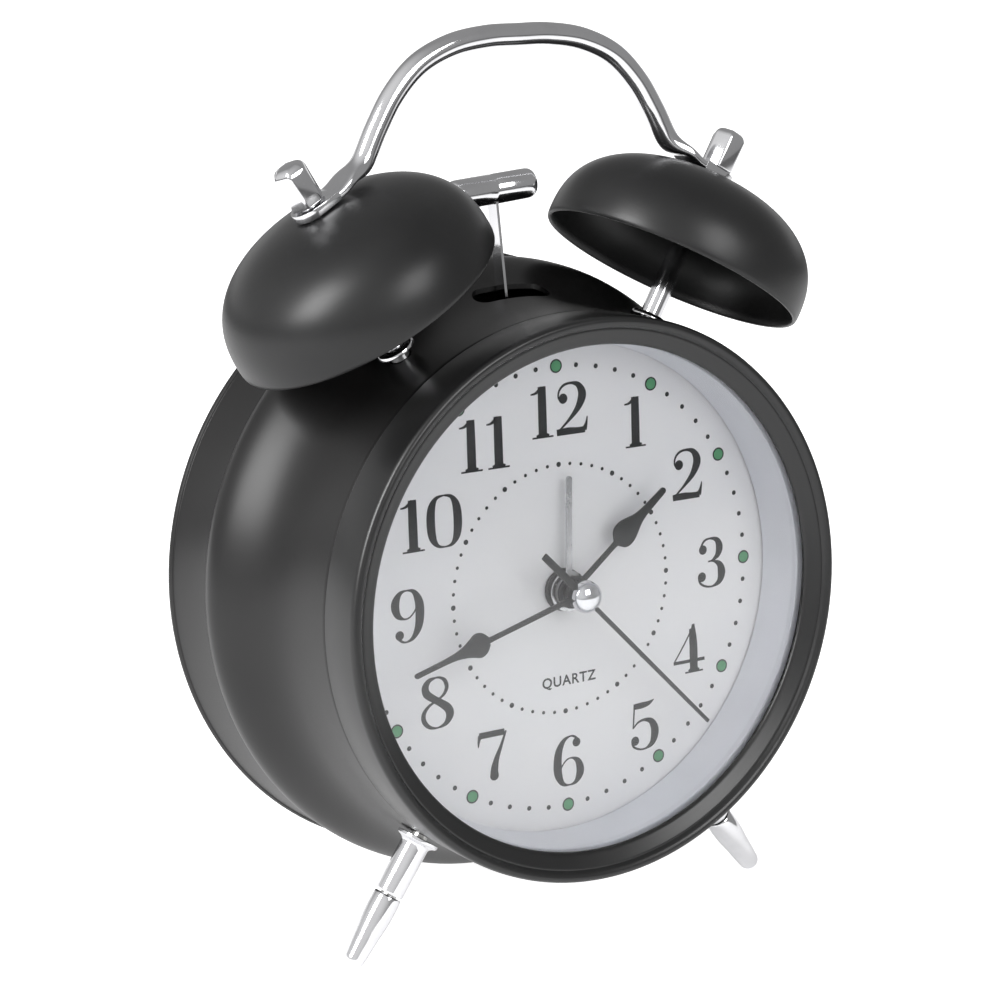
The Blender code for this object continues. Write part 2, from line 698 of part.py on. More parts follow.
def bellOutline(hole):
    outer = []
    for i in range(10):
        share = math.sin(0.5 * math.pi * i / 9.0)
        height = bellRimRise + (bellHeight - bellRimRise) * share
        outer.append((bellCurve(height), height))
    outer = [point for point in outer if point[0] > hole + 2.0 * bellWall]
    outer = [(hole, bellHeight)] + list(reversed(outer)) + [(bellRimRadius, 0.0)]
    inner = [(bellRimRadius - bellWall, 0.0), (bellRadius - bellWall, bellRimRise)]
    for i in range(1, 7):
        share = math.sin(0.5 * math.pi * i / 7.0)
        height = bellRimRise + (bellHeight - bellRimRise - bellWall) * share
        width = (bellRadius - bellWall) * (1.0 - share ** bellPower) ** (1.0 / bellPower)
        if width > hole + bellWall:
            inner.append((width, height))
    inner.append((hole, bellHeight - bellWall))
    return [(radius, bellMouth + height) for radius, height in outer + inner]


bellTop = bellMouth + bellHeight
shoulderTop = bellTop - bellWall - seatGap
tabBase = bellTop + seatGap
tabTop = tabBase + tabThick
nutBase = tabTop + seatGap
collarBase = caseRadius(postDepth + collarRadius) + seatGap
innerNutTop = caseRadius(postDepth - 4.0 * mm) - sheet - seatGap
innerNutThick = 2.4 * mm
threadHole = threadRadius + seatGap
postEnd = innerNutTop - innerNutThick - 0.8 * mm


def hexPrism(name, radius, top, bottom, matrix, material):
    mesh = bpy.data.meshes.new(name)
    bm = bmesh.new()
    bmesh.ops.create_cone(bm, cap_ends=True, segments=6, radius1=radius, radius2=radius, depth=top - bottom)
    bmesh.ops.translate(bm, verts=bm.verts, vec=(0.0, 0.0, 0.5 * (top + bottom)))
    bm.to_mesh(mesh)
    bm.free()
    return link(name, mesh, matrix, material)


def domeOutline(radius, top, bottom):
    dome = [(radius * math.sin(math.radians(angle)), top - radius * (1.0 - math.cos(math.radians(angle))))
            for angle in range(0, 91, 18)]
    return dome + [(radius, bottom), (0.0, bottom)]


def bellSet(side, degrees):
    matrix = spoke(degrees, postDepth)
    turned("bell_" + side, bellOutline(threadHole), bellSteps, matrix, blackPaint)
    threadTop = nutBase + 4.6 * mm
    turned("bell_post_" + side, [(0.0, threadTop), (threadRadius, threadTop), (threadRadius, shoulderTop),
                                 (postRadius, shoulderTop), (postRadius, postEnd), (0.0, postEnd)],
           16, matrix, chrome, closed=False)
    turned("post_collar_" + side, tube(collarRadius, postRadius + pressGap, collarBase + collarThick, collarBase),
           20, matrix, chrome)
    nut = hexPrism("post_nut_" + side, 4.0 * mm, innerNutTop, innerNutTop - innerNutThick, matrix, steel)
    cut(nut, drum("post_nut_bore_" + side, postRadius + pressGap, innerNutTop + mm, innerNutTop - 2 * innerNutThick,
                  matrix))
    cap = hexPrism("bell_cap_nut_" + side, capNutRadius, nutBase + capNutHeight, nutBase, matrix, chrome)
    dome = turned("cap_nut_dome_" + side, domeOutline(capNutRadius * 0.97, nutBase + capNutHeight + 0.1 * mm,
                  nutBase - mm), 16, matrix, None, closed=False)
    combine(cap, dome, "INTERSECT")
    cut(cap, drum("cap_nut_bore_" + side, threadHole, nutBase + 5.0 * mm, nutBase - mm, matrix, 16))
    cut(body, drum("post_hole_" + side, postRadius + seatGap, collarBase + mm, innerNutTop - mm, matrix))
    return matrix


bellPlaces = [bellSet("left", -postAngle), bellSet("right", postAngle)]

# the carrying handle


def archPoints():
    # one side of the handle, from its tab up to the middle of the arch
    angle = math.radians(postAngle)
    out = Vector((math.sin(angle), math.cos(angle)))
    along = Vector((-math.cos(angle), math.sin(angle)))
    seat = out * (tabBase + handleRadius - 0.1 * mm)
    bend = [seat + along * (tabReach - 1.2 * mm), seat + along * (tabReach + 1.0 * mm)]
    rise = [(0.326, 0.792), (0.295, 0.850), (0.258, 0.907), (0.206, 0.957), (0.138, 0.986), (0.066, 0.999),
            (0.0, 1.0)]
    return bend + [Vector((x, z)) * handleTop for x, z in rise]


def smoothed(points, rounds):
    # corner cutting turns the few guide points into an even bend
    for _ in range(rounds):
        result = [points[0]]
        for a, b in zip(points, points[1:]):
            result.append(a.lerp(b, 0.25))
            result.append(a.lerp(b, 0.75))
        result.append(points[-1])
        points = result
    return points


def handle():
    side = archPoints()
    whole = smoothed(side + [Vector((-p.x, p.y)) for p in reversed(side[:-1])], 1)
    curve = bpy.data.curves.new("carry_handle", "CURVE")
    curve.dimensions = "3D"
    curve.bevel_depth = handleRadius
    curve.bevel_resolution = 3
    curve.use_fill_caps = True
    spline = curve.splines.new("POLY")
    spline.points.add(len(whole) - 1)
    for point, place in zip(spline.points, whole):
        point.co = (place.x, postDepth, place.y, 1.0)
    obj = bpy.data.objects.new("carry_handle", curve)
    parts.objects.link(obj)
    obj.parent = clock
    rail = meshFromCurve(obj, chrome)
    for side, degrees, matrix in (("left", 1.0, bellPlaces[0]), ("right", -1.0, bellPlaces[1])):
        half = 0.5 * tabWidth
        outline = [(half * math.cos(math.radians(a)) * -degrees, half * math.sin(math.radians(a)))
                   for a in range(-90, 91, 18)]
        outline += [(degrees * (tabReach - 1.5 * mm), half), (degrees * tabReach, half - 1.2 * mm),
                    (degrees * tabReach, -half + 1.2 * mm), (degrees * (tabReach - 1.5 * mm), -half)]
        tab = plate("handle_tab_" + side, [outline], tabThick, matrix @ at(0.0, 0.0, 0.5 * (tabBase + tabTop)), chrome)
        parts.objects.unlink(tab)
        cutters.objects.link(tab)
        tab.hide_render = True
        tab.display_type = "WIRE"
        join(rail, tab)
        cut(rail, drum("handle_hole_" + side, threadHole, tabTop + 0.1 * mm + seatGap * 0.5, tabBase - 0.2 * mm,
                       matrix))
    return rail


handle()

# the feet

footBase = caseRadius(footDepth + footFlangeRadius) + seatGap
footSeam = footBase + footSleeveLength
footBore = 1.5 * mm
footScrewTop = caseRadius(footDepth - 3.2 * mm) - sheet - seatGap


def tipOutline():
    # the lower piece swells a little below the seam and narrows to a round end
    top = -(footSeam + seatGap)
    length = footReach - footSeam - seatGap
    outline = [(0.0, top - 6.5 * mm), (footBore + pressGap, top - 6.5 * mm), (footBore + pressGap, top),
               (footRadius - 0.25 * mm, top), (footRadius, top - 0.3 * mm)]
    for i in range(1, 5):
        share = i / 4.0
        bulge = footRadius + (footBulge - footRadius) * math.sin(math.pi * min(share * 1.6, 1.0))
        radius = bulge - (footRadius - footTipRadius) * share ** 1.8
        outline.append((radius, top - (length - footTipRadius) * share))
    for degrees in range(18, 91, 18):
        angle = math.radians(degrees)
        outline.append((footTipRadius * math.cos(angle), -footReach + footTipRadius * (1.0 - math.sin(angle))))
    return outline


# how far the clock leans back: the feet and the lower edge of the rear rim meet the ground together
rimDepth = caseRear - 0.3 * mm
tipZ = (footReach - footTipRadius) * math.cos(math.radians(footAngle))
drop = tipZ - flangeRadius
span = rimDepth - footDepth
lean = math.asin((footTipRadius - footPad) / math.hypot(span, drop)) + math.atan2(drop, span)
standHeight = flangeRadius * math.cos(lean) + rimDepth * math.sin(lean)
groundSize = 0.3
ground = box("ground_cut", (groundSize, groundSize, groundSize),
             Matrix.Rotation(lean, 4, "X") @ at(0.0, 0.0, -standHeight - 0.5 * groundSize), None)


def footSet(side, degrees):
    # local Z points back to the case axis, so the foot hangs towards local -Z
    matrix = spoke(180.0 + degrees, footDepth) @ turnAbout("X", 180.0)
    sleeve = [(footFlangeRadius - 0.15 * mm, -footBase), (footFlangeRadius, -footBase - 0.2 * mm),
              (footFlangeRadius, -footBase - footFlangeThick), (footRadius + 0.3 * mm, -footBase - footFlangeThick -
              0.3 * mm), (footRadius, -footBase - footFlangeThick - 0.9 * mm), (footRadius, -footSeam + 0.25 * mm),
              (footRadius - 0.25 * mm, -footSeam), (footBore + pressGap, -footSeam), (footBore + pressGap, -footBase)]
    turned("foot_sleeve_" + side, sleeve, 20, matrix, chrome)
    tip = turned("foot_tip_" + side, tipOutline(), 20, matrix, chrome, closed=False)
    cut(tip, ground)
    screw = [(0.0, -footScrewTop + 1.6 * mm), (2.7 * mm, -footScrewTop + 1.6 * mm), (3.0 * mm, -footScrewTop + 1.3 * mm),
             (3.0 * mm, -footScrewTop), (footBore, -footScrewTop), (footBore, -footSeam - 6.0 * mm),
             (0.0, -footSeam - 6.0 * mm)]
    turned("foot_screw_" + side, screw, 16, matrix, steel, closed=False)
    cut(body, drum("foot_hole_" + side, footBore + seatGap, -footScrewTop + 2 * mm, -footBase - mm, matrix))
    cut(chassis, drum("foot_notch_" + side, 4.2 * mm, -footScrewTop + 2.2 * mm, -footBase - mm, matrix))


footSet("left", footAngle)
footSet("right", -footAngle)

# the striker

slotCut = box("hammer_slot_cut", (2 * slotHalfLength, slotWidth, 14.0 * mm),
              at(0.0, hammerDepth + slotShift, caseRadius(hammerDepth)), None, 1.2 * mm)
cut(body, slotCut)

hammerFrame = at(0.0, hammerDepth, hammerPivotZ) @ turnAbout("Y", hammerRest)
stripFoot = crankRise + 3.4 * mm
stripTop = headRise + hammerHeadRadius
headAcross = hammerFrame @ at(0.0, 0.0, headRise) @ turnAbout("Y", 90.0)
half = 0.5 * hammerHeadLength
head = turned("hammer_head", [(0.0, half), (hammerHeadRadius - 1.3 * mm, half), (hammerHeadRadius - 0.5 * mm, half -
              0.35 * mm), (hammerHeadRadius - 0.1 * mm, half - 1.0 * mm), (hammerHeadRadius, half - 1.7 * mm),
              (hammerHeadRadius, -half + 1.7 * mm), (hammerHeadRadius - 0.1 * mm, -half + 1.0 * mm),
              (hammerHeadRadius - 0.5 * mm, -half + 0.35 * mm), (hammerHeadRadius - 1.3 * mm, -half), (0.0, -half)],
              24, headAcross, chrome, closed=False)
stripMid = 0.5 * (stripFoot + stripTop - 1.2 * mm)
stripLength = stripTop - 1.2 * mm - stripFoot
box("hammer_arm", (hammerStripThick, hammerStripWidth, stripLength), hammerFrame @ at(0.0, 0.0, stripMid), steel)
stripSlit = box("head_slit", (hammerStripThick + 2 * pressGap, hammerStripWidth + 2 * pressGap, headRise),
                hammerFrame @ at(0.0, 0.0, 0.5 * headRise + hammerHeadRadius - 1.2 * mm + pressGap), None)
cut(head, stripSlit)

windowHalf = crankThrow + crankPinRadius + crankRise * math.tan(math.radians(hammerSwing)) + 0.5 * mm
windowTall = 2.0 * (crankThrow + crankPinRadius + 0.4 * mm)
cheek = windowHalf + 1.6 * mm
brow = crankRise + 0.5 * windowTall + 0.6 * mm
leverOutline = [(-2.6 * mm, 0.0), (-2.2 * mm, -1.6 * mm), (0.0, -2.6 * mm), (2.2 * mm, -1.6 * mm), (2.6 * mm, 0.0),
                (cheek, crankRise - windowTall), (cheek, brow), (2.2 * mm, brow + 4.0 * mm),
                (-2.2 * mm, brow + 4.0 * mm), (-cheek, brow), (-cheek, crankRise - windowTall)]
hammerPinRadius = 1.0 * mm
lever = plate("hammer_lever", [leverOutline, circle(hammerPinRadius + runGap, 20),
                               rectangle(2 * windowHalf, windowTall, 0.0, crankRise)],
              leverThick, hammerFrame @ at(0.0, leverShift, 0.0) @ faceOn, blackPlastic)
leverSlit = box("lever_slit", (hammerStripThick + 2 * pressGap, 4.0 * mm, 20.0 * mm),
                hammerFrame @ at(0.0, 0.0, stripFoot - pressGap + 10.0 * mm), None)
cut(lever, leverSlit)

plateRear = strikerPlateFront + strikerPlateThick
plateHalf = strikerScrewX + 4.0 * mm
plateShoulder = strikerScrewZ + 4.0 * mm
plateTop = crankZ + 5.5 * mm
tongueFoot = hammerPivotZ - 2.1 * mm
plateOutline = [(-plateHalf, hammerPivotZ), (-3.0 * mm, hammerPivotZ), (-3.0 * mm, tongueFoot),
                (3.0 * mm, tongueFoot), (3.0 * mm, hammerPivotZ), (plateHalf, hammerPivotZ),
                (plateHalf, plateShoulder), (9.5 * mm, plateTop), (-9.5 * mm, plateTop), (-plateHalf, plateShoulder)]
motorBoss = 2.0 * mm
plate("striker_plate", [plateOutline, circle(hammerPinRadius + pressGap, 20, 0.0, hammerPivotZ),
                        circle(motorBoss + seatGap, 24, 0.0, crankZ),
                        circle(screwRadius + seatGap, 16, -strikerScrewX, strikerScrewZ),
                        circle(screwRadius + seatGap, 16, strikerScrewX, strikerScrewZ)],
      strikerPlateThick, at(0.0, 0.5 * (strikerPlateFront + plateRear), 0.0) @ faceOn, steel)
turned("hammer_pivot_pin", fromFront([(0.0, leverFront - 1.2 * mm), (1.8 * mm, leverFront - 1.2 * mm),
                                      (1.8 * mm, leverFront - runGap), (hammerPinRadius, leverFront - runGap),
                                      (hammerPinRadius, plateRear + 0.4 * mm), (0.0, plateRear + 0.4 * mm)]),
       16, at(0.0, 0.0, hammerPivotZ) @ faceOn, steel, closed=False)

motorFrame = at(0.0, 0.0, crankZ) @ faceOn
motorFront = plateRear + seatGap
motorShaft = 0.6 * mm
crankFront = leverRear + 0.4 * mm
crankRear = strikerPlateFront - 0.4 * mm
turned("striker_motor", fromFront([(0.0, crankFront + 0.3 * mm), (motorShaft, crankFront + 0.3 * mm),
                                   (motorShaft, crankRear + 0.1 * mm), (motorBoss, crankRear + 0.2 * mm),
                                   (motorBoss, motorFront), (motorRadius - 0.4 * mm, motorFront),
                                   (motorRadius, motorFront + 0.4 * mm),
                                   (motorRadius, motorFront + motorLength - 0.4 * mm),
                                   (motorRadius - 0.4 * mm, motorFront + motorLength),
                                   (0.0, motorFront + motorLength)]), 20, motorFrame, steel, closed=False)
crank = turned("striker_crank", fromFront(tube(2.4 * mm, motorShaft + pressGap, crankFront, crankRear)), 16,
               motorFrame, whitePlastic)
crankPin = turned("crank_pin", fromFront(rod(crankPinRadius, leverFront - 0.3 * mm, crankFront + 0.5 * mm)), 12,
                  motorFrame @ at(0.0, crankThrow, 0.0), None, closed=False)
join(crank, crankPin)


def coverScrew(name, matrix, seat, length):
    # a screw whose head sits behind the plate at depth seat
    turned(name, fromFront([(0.0, seat - length), (screwRadius, seat - length), (screwRadius, seat),
                            (screwHeadRadius, seat), (screwHeadRadius, seat + 0.7 * screwHeadThick),
                            (screwHeadRadius - 0.7 * mm, seat + screwHeadThick), (0.0, seat + screwHeadThick)]),
           14, matrix, steel, closed=False)


for side, matrix in zip(("left", "right"), strikerPlaces):
    coverScrew("striker_screw_" + side, matrix, plateRear + seatGap, 7.0 * mm)

# rear cover, battery and switch

cover = turned("rear_cover", fromFront(rod(coverRadius, coverFront, coverRear)), caseSteps, faceOn, blackPlastic,
               closed=False)
pocketOuter = (pocketLength + 2 * pocketWall, coverFront + 0.5 * mm - pocketFloor + pocketWall, pocketHeight +
               2 * pocketWall)
pocketMid = 0.5 * (coverFront + 0.5 * mm + pocketFloor - pocketWall)
shell = box("pocket_shell", pocketOuter, at(0.0, pocketMid, pocketCentreZ), None)
join(cover, shell)
pocketCut = box("pocket_cut", (pocketLength, doorFront + mm - pocketFloor, pocketHeight),
                at(0.0, 0.5 * (pocketFloor + doorFront + mm), pocketCentreZ), None)
doorCut = box("door_recess", (pocketLength + 2 * doorRim, 2.0 * doorThick, pocketHeight + 2 * doorRim),
              at(0.0, doorFront - seatGap + doorThick, pocketCentreZ), None)
cut(cover, pocketCut, doorCut)
doorWidth = pocketLength + 2 * doorRim - 2 * seatGap
doorHeight = pocketHeight + 2 * doorRim - 2 * seatGap
door = box("battery_door", (doorWidth, doorThick, doorHeight),
           at(0.0, doorFront + 0.5 * doorThick, pocketCentreZ), blackPlastic, 0.3 * mm, 1)
fingerCut = box("door_finger_cut", (12.0 * mm, 0.8 * mm, 3.0 * mm),
                at(0.0, coverRear, pocketCentreZ + 0.5 * doorHeight - 2.6 * mm), None)
cut(door, fingerCut)

cellDepth = pocketFloor + seatGap + cellRadius
cellFrame = at(0.4 * mm, cellDepth, pocketCentreZ) @ turnAbout("Y", 90.0)
cellHalf = 0.5 * cellLength
turned("battery_cell", [(0.0, cellHalf + 1.2 * mm), (2.7 * mm, cellHalf + 1.2 * mm), (2.7 * mm, cellHalf),
                        (cellRadius - 0.6 * mm, cellHalf), (cellRadius, cellHalf - 0.6 * mm),
                        (cellRadius, -cellHalf + 0.4 * mm), (cellRadius - 0.4 * mm, -cellHalf), (0.0, -cellHalf)],
       24, cellFrame, cellSleeve, closed=False)
plusGap = 0.5 * pocketLength - (cellHalf + 1.2 * mm + 0.4 * mm)
box("contact_plus", (0.4 * mm, 10.0 * mm, 10.0 * mm), at(0.5 * pocketLength - 0.5 * plusGap, cellDepth,
    pocketCentreZ), brass, 0.1 * mm, 1)


def coilSpring():
    start = -0.5 * pocketLength + springWire + 0.15 * mm
    end = -cellHalf + 0.4 * mm - springWire - 0.15 * mm
    count = int(springTurns * 12)
    curve = bpy.data.curves.new("contact_spring", "CURVE")
    curve.dimensions = "3D"
    curve.bevel_depth = springWire
    curve.bevel_resolution = 1
    curve.use_fill_caps = True
    spline = curve.splines.new("POLY")
    spline.points.add(count)
    for i, point in enumerate(spline.points):
        share = i / count
        angle = 2.0 * math.pi * springTurns * share
        radius = (5.2 - 2.4 * share) * mm
        point.co = (start + (end - start) * share, cellDepth + radius * math.cos(angle),
                    pocketCentreZ + radius * math.sin(angle), 1.0)
    obj = bpy.data.objects.new("contact_spring", curve)
    parts.objects.link(obj)
    obj.parent = clock
    meshFromCurve(obj, steel)


coilSpring()

for key, matrix in setPlaces.items():
    cut(cover, drum("cover_hole_" + key, setShaftRadius + 0.5 * mm, -(coverFront - mm), -(coverRear + mm), matrix))
for index, matrix in enumerate(pillarPlaces):
    cut(cover, drum("cover_screw_hole_%d" % index, screwRadius + seatGap, -(coverFront - mm), -(coverRear + mm),
                    matrix, 16))
    coverScrew("cover_screw_" + ("right", "bottom", "left")[index], matrix, coverRear + seatGap, 9.0 * mm)

switchZ = 22.0 * mm
switchTravel = 4.0 * mm
switchNeck = (4.4 * mm, 3.0 * mm)
switchRest = -0.5 * switchTravel
slotMesh = box("switch_slot", (switchNeck[0] + switchTravel + 2 * seatGap, 3 * coverThick, switchNeck[1] +
               2 * seatGap), at(0.0, coverFront + 0.5 * coverThick, switchZ), None)
cut(cover, slotMesh)
switch = box("alarm_switch", (8.0 * mm, 2.2 * mm, 5.0 * mm), at(switchRest, coverRear + seatGap + 1.1 * mm, switchZ),
             blackPlastic, 0.4 * mm, 1)
neckLength = coverThick + 2 * seatGap + mm
neck = box("switch_neck", (switchNeck[0], neckLength, switchNeck[1]),
           at(switchRest, coverFront + 0.5 * coverThick, switchZ), None)
foot = box("switch_base", (12.0 * mm, 1.2 * mm, 7.0 * mm), at(switchRest, coverFront - seatGap - 0.6 * mm, switchZ),
           None)
join(switch, neck, foot)

# stand the clock on the ground, with the origin under the middle of what it covers

for obj in parts.objects:
    if obj.type == "MESH":
        shadeSmooth(obj)
clock.rotation_euler = (-lean, 0.0, 0.0)
clock.location = (0.0, 0.0, standHeight)


def depthRange():
    bpy.context.view_layer.update()
    graph = bpy.context.evaluated_depsgraph_get()
    depths = []
    for obj in parts.objects:
        if obj.type == "MESH":
            shape = obj.evaluated_get(graph)
            depths += [(shape.matrix_world @ vertex.co).y for vertex in shape.data.vertices]
    return min(depths), max(depths)


nearest, farthest = depthRange()
clock.location.y = -0.5 * (nearest + farthest)
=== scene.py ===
import json
import math

import bmesh
import bpy
from mathutils import Matrix, Vector

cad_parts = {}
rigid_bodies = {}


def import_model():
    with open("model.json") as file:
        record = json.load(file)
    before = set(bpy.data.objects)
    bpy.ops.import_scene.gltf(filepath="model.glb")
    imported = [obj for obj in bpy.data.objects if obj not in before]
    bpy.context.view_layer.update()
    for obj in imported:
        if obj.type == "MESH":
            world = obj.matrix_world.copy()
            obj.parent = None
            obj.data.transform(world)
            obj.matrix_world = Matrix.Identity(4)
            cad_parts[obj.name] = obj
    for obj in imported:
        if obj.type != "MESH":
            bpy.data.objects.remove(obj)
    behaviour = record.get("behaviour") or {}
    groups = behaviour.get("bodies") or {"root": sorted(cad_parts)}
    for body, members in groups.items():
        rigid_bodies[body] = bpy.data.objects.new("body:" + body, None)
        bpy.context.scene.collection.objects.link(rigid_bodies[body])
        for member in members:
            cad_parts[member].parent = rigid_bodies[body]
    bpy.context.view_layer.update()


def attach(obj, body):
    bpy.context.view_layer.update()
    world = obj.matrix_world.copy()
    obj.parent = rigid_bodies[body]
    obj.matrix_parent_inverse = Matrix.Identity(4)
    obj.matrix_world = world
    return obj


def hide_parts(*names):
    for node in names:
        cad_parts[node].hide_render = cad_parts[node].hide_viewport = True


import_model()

mm = 0.001

# the clock leans back on its feet and rear rim; everything below is laid out square to the dial
lean = {"angle": 7.277548, "back": -13.48851 * mm, "height": 62.11864 * mm}
leanBack = Matrix.Rotation(math.radians(-lean["angle"]), 4, "X")
stand = Matrix.Translation((0, lean["back"], lean["height"])) @ leanBack
faceOn = Matrix.Rotation(math.radians(90), 4, "X")

# the posts of the bells and the feet leave the case at these angles from upright and depths behind the dial
fittings = {"postAngle": 30.7, "postDepth": 9.0, "footAngle": 35.3, "footDepth": 3.0}


def spoke(degrees, depth):
    # local Z outwards from the case axis, degrees clockwise from twelve
    return Matrix.Translation((0, depth, 0)) @ Matrix.Rotation(math.radians(degrees), 4, "Y")


def letGo():
    if bpy.context.object and bpy.context.object.mode != "OBJECT":
        bpy.ops.object.mode_set(mode="OBJECT")
    bpy.ops.object.select_all(action="DESELECT")


def pick(*pieces):
    letGo()
    for piece in pieces:
        piece.select_set(True)
    bpy.context.view_layer.objects.active = pieces[0]


def settle(piece, place):
    # the mesh takes the place, the object stays at the origin
    piece.matrix_world = Matrix.Identity(4)
    piece.data.transform(stand @ place)
    piece.data.update()
    return piece


def soften(piece, width, segments=2, angle=30):
    pick(piece)
    edge = piece.modifiers.new("edge", "BEVEL")
    edge.width = width
    edge.segments = segments
    edge.limit_method = "ANGLE"
    edge.angle_limit = math.radians(angle)
    edge.harden_normals = False
    bpy.ops.object.modifier_apply(modifier=edge.name)


def smooth(piece, angle=32):
    pick(piece)
    bpy.ops.object.shade_smooth_by_angle(angle=math.radians(angle))


def spinShape(name, outline, steps, closed=True):
    # one point drawn along the outline, then spun about local Z; outline is (radius, height)
    letGo()
    bpy.ops.mesh.primitive_plane_add(size=0.01, location=(0, 0, 0))
    piece = bpy.context.object
    piece.name = name
    piece.data.name = name
    bpy.ops.object.mode_set(mode="EDIT")
    bpy.ops.mesh.select_all(action="SELECT")
    bpy.ops.mesh.merge(type="CENTER")
    points = [Vector((r, 0, h)) for r, h in outline]
    if closed:
        points.append(points[0])
    bpy.ops.transform.translate(value=points[0])
    for last, point in zip(points, points[1:]):
        bpy.ops.mesh.extrude_vertices_move(TRANSFORM_OT_translate={"value": point - last})
    bpy.ops.mesh.select_all(action="SELECT")
    bpy.ops.mesh.remove_doubles(threshold=0.000001)
    bpy.ops.mesh.spin(steps=steps, angle=2 * math.pi, center=(0, 0, 0), axis=(0, 0, 1), dupli=False)
    bpy.ops.mesh.select_all(action="SELECT")
    bpy.ops.mesh.remove_doubles(threshold=0.000002)
    bpy.ops.mesh.normals_make_consistent(inside=False)
    bpy.ops.object.mode_set(mode="OBJECT")
    return piece


def facing(outline):
    # case pieces are written (radius, depth) in millimetres, front to back
    return [(r * mm, -d * mm) for r, d in outline]


def rising(outline):
    return [(r * mm, h * mm) for r, h in outline]


def arc(cx, cy, radius, start, end, count):
    turns = [math.radians(start + (end - start) * i / count) for i in range(count + 1)]
    return [(cx + radius * math.cos(turn), cy + radius * math.sin(turn)) for turn in turns]


def flatShape(name, outlines, thick):
    # a flat curve with holes, turned into a mesh
    letGo()
    curve = bpy.data.curves.new(name, "CURVE")
    curve.dimensions = "2D"
    curve.fill_mode = "BOTH"
    curve.extrude = thick / 2
    for outline in outlines:
        spline = curve.splines.new("POLY")
        spline.points.add(len(outline) - 1)
        for point, (x, y) in zip(spline.points, outline):
            point.co = (x, y, 0, 1)
        spline.use_cyclic_u = True
    piece = bpy.data.objects.new(name, curve)
    bpy.context.scene.collection.objects.link(piece)
    pick(piece)
    bpy.ops.object.convert(target="MESH")
    piece = bpy.context.object
    bpy.ops.object.mode_set(mode="EDIT")
    bpy.ops.mesh.select_all(action="SELECT")
    bpy.ops.mesh.remove_doubles(threshold=0.000001)
    bpy.ops.mesh.normals_make_consistent(inside=False)
    bpy.ops.object.mode_set(mode="OBJECT")
    return piece


def ring(radius, count, x=0, y=0):
    turns = [2 * math.pi * i / count for i in range(count)]
    return [(x + radius * math.cos(turn), y + radius * math.sin(turn)) for turn in turns]


def drawn(name, bm):
    # a piece from faces that were laid one by one
    mesh = bpy.data.meshes.new(name)
    bm.to_mesh(mesh)
    bm.free()
    piece = bpy.data.objects.new(name, mesh)
    bpy.context.scene.collection.objects.link(piece)
    return piece


def faceOut(piece):
    pick(piece)
    bpy.ops.object.mode_set(mode="EDIT")
    bpy.ops.mesh.select_all(action="SELECT")
    bpy.ops.mesh.normals_make_consistent(inside=False)
    bpy.ops.object.mode_set(mode="OBJECT")


def combine(piece, other, operation):
    pick(piece)
    both = piece.modifiers.new("both", "BOOLEAN")
    both.operation = operation
    both.solver = "EXACT"
    both.object = other
    bpy.ops.object.modifier_apply(modifier=both.name)
    bpy.data.objects.remove(other, do_unlink=True)


def bite(piece, cutter):
    # takes the cutter's shape out of the piece
    combine(piece, cutter, "DIFFERENCE")


def mathNode(nodes, operation, value=None):
    node = nodes.new("ShaderNodeMath")
    node.operation = operation
    if value is not None:
        node.inputs[1].default_value = value
    return node


def rangeNode(nodes, low, high, lowTo=0.0, highTo=1.0, even=True):
    node = nodes.new("ShaderNodeMapRange")
    node.interpolation_type = "LINEAR" if even else "SMOOTHSTEP"
    node.inputs["From Min"].default_value = low
    node.inputs["From Max"].default_value = high
    node.inputs["To Min"].default_value = lowTo
    node.inputs["To Max"].default_value = highTo
    return node


# finishes

def variationGroup():
    # two scales of noise: a slow drift and a fine grain, both 0 to 1
    group = bpy.data.node_groups.new("surface variation", "ShaderNodeTree")
    for name in ("Drift Scale", "Grain Scale"):
        group.interface.new_socket(name=name, in_out="INPUT", socket_type="NodeSocketFloat")
    for name in ("Drift", "Grain", "Specks"):
        group.interface.new_socket(name=name, in_out="OUTPUT", socket_type="NodeSocketFloat")
    nodes = group.nodes
    links = group.links
    start = nodes.new("NodeGroupInput")
    end = nodes.new("NodeGroupOutput")
    place = nodes.new("ShaderNodeTexCoord")
    drift = nodes.new("ShaderNodeTexNoise")
    drift.inputs["Detail"].default_value = 3
    grain = nodes.new("ShaderNodeTexNoise")
    grain.inputs["Detail"].default_value = 5
    grain.inputs["Roughness"].default_value = 0.65
    speck = nodes.new("ShaderNodeTexVoronoi")
    speckMask = rangeNode(nodes, 0.10, 0.02)
    for node in (drift, grain, speck):
        links.new(place.outputs["Object"], node.inputs["Vector"])
    links.new(start.outputs["Drift Scale"], drift.inputs["Scale"])
    links.new(start.outputs["Grain Scale"], grain.inputs["Scale"])
    links.new(start.outputs["Grain Scale"], speck.inputs["Scale"])
    links.new(speck.outputs["Distance"], speckMask.inputs["Value"])
    links.new(drift.outputs["Fac"], end.inputs["Drift"])
    links.new(grain.outputs["Fac"], end.inputs["Grain"])
    links.new(speckMask.outputs["Result"], end.inputs["Specks"])
    for i, node in enumerate((start, place, drift, grain, speck, speckMask, end)):
        node.location = (i * 200, 0)
    return group


variation = variationGroup()


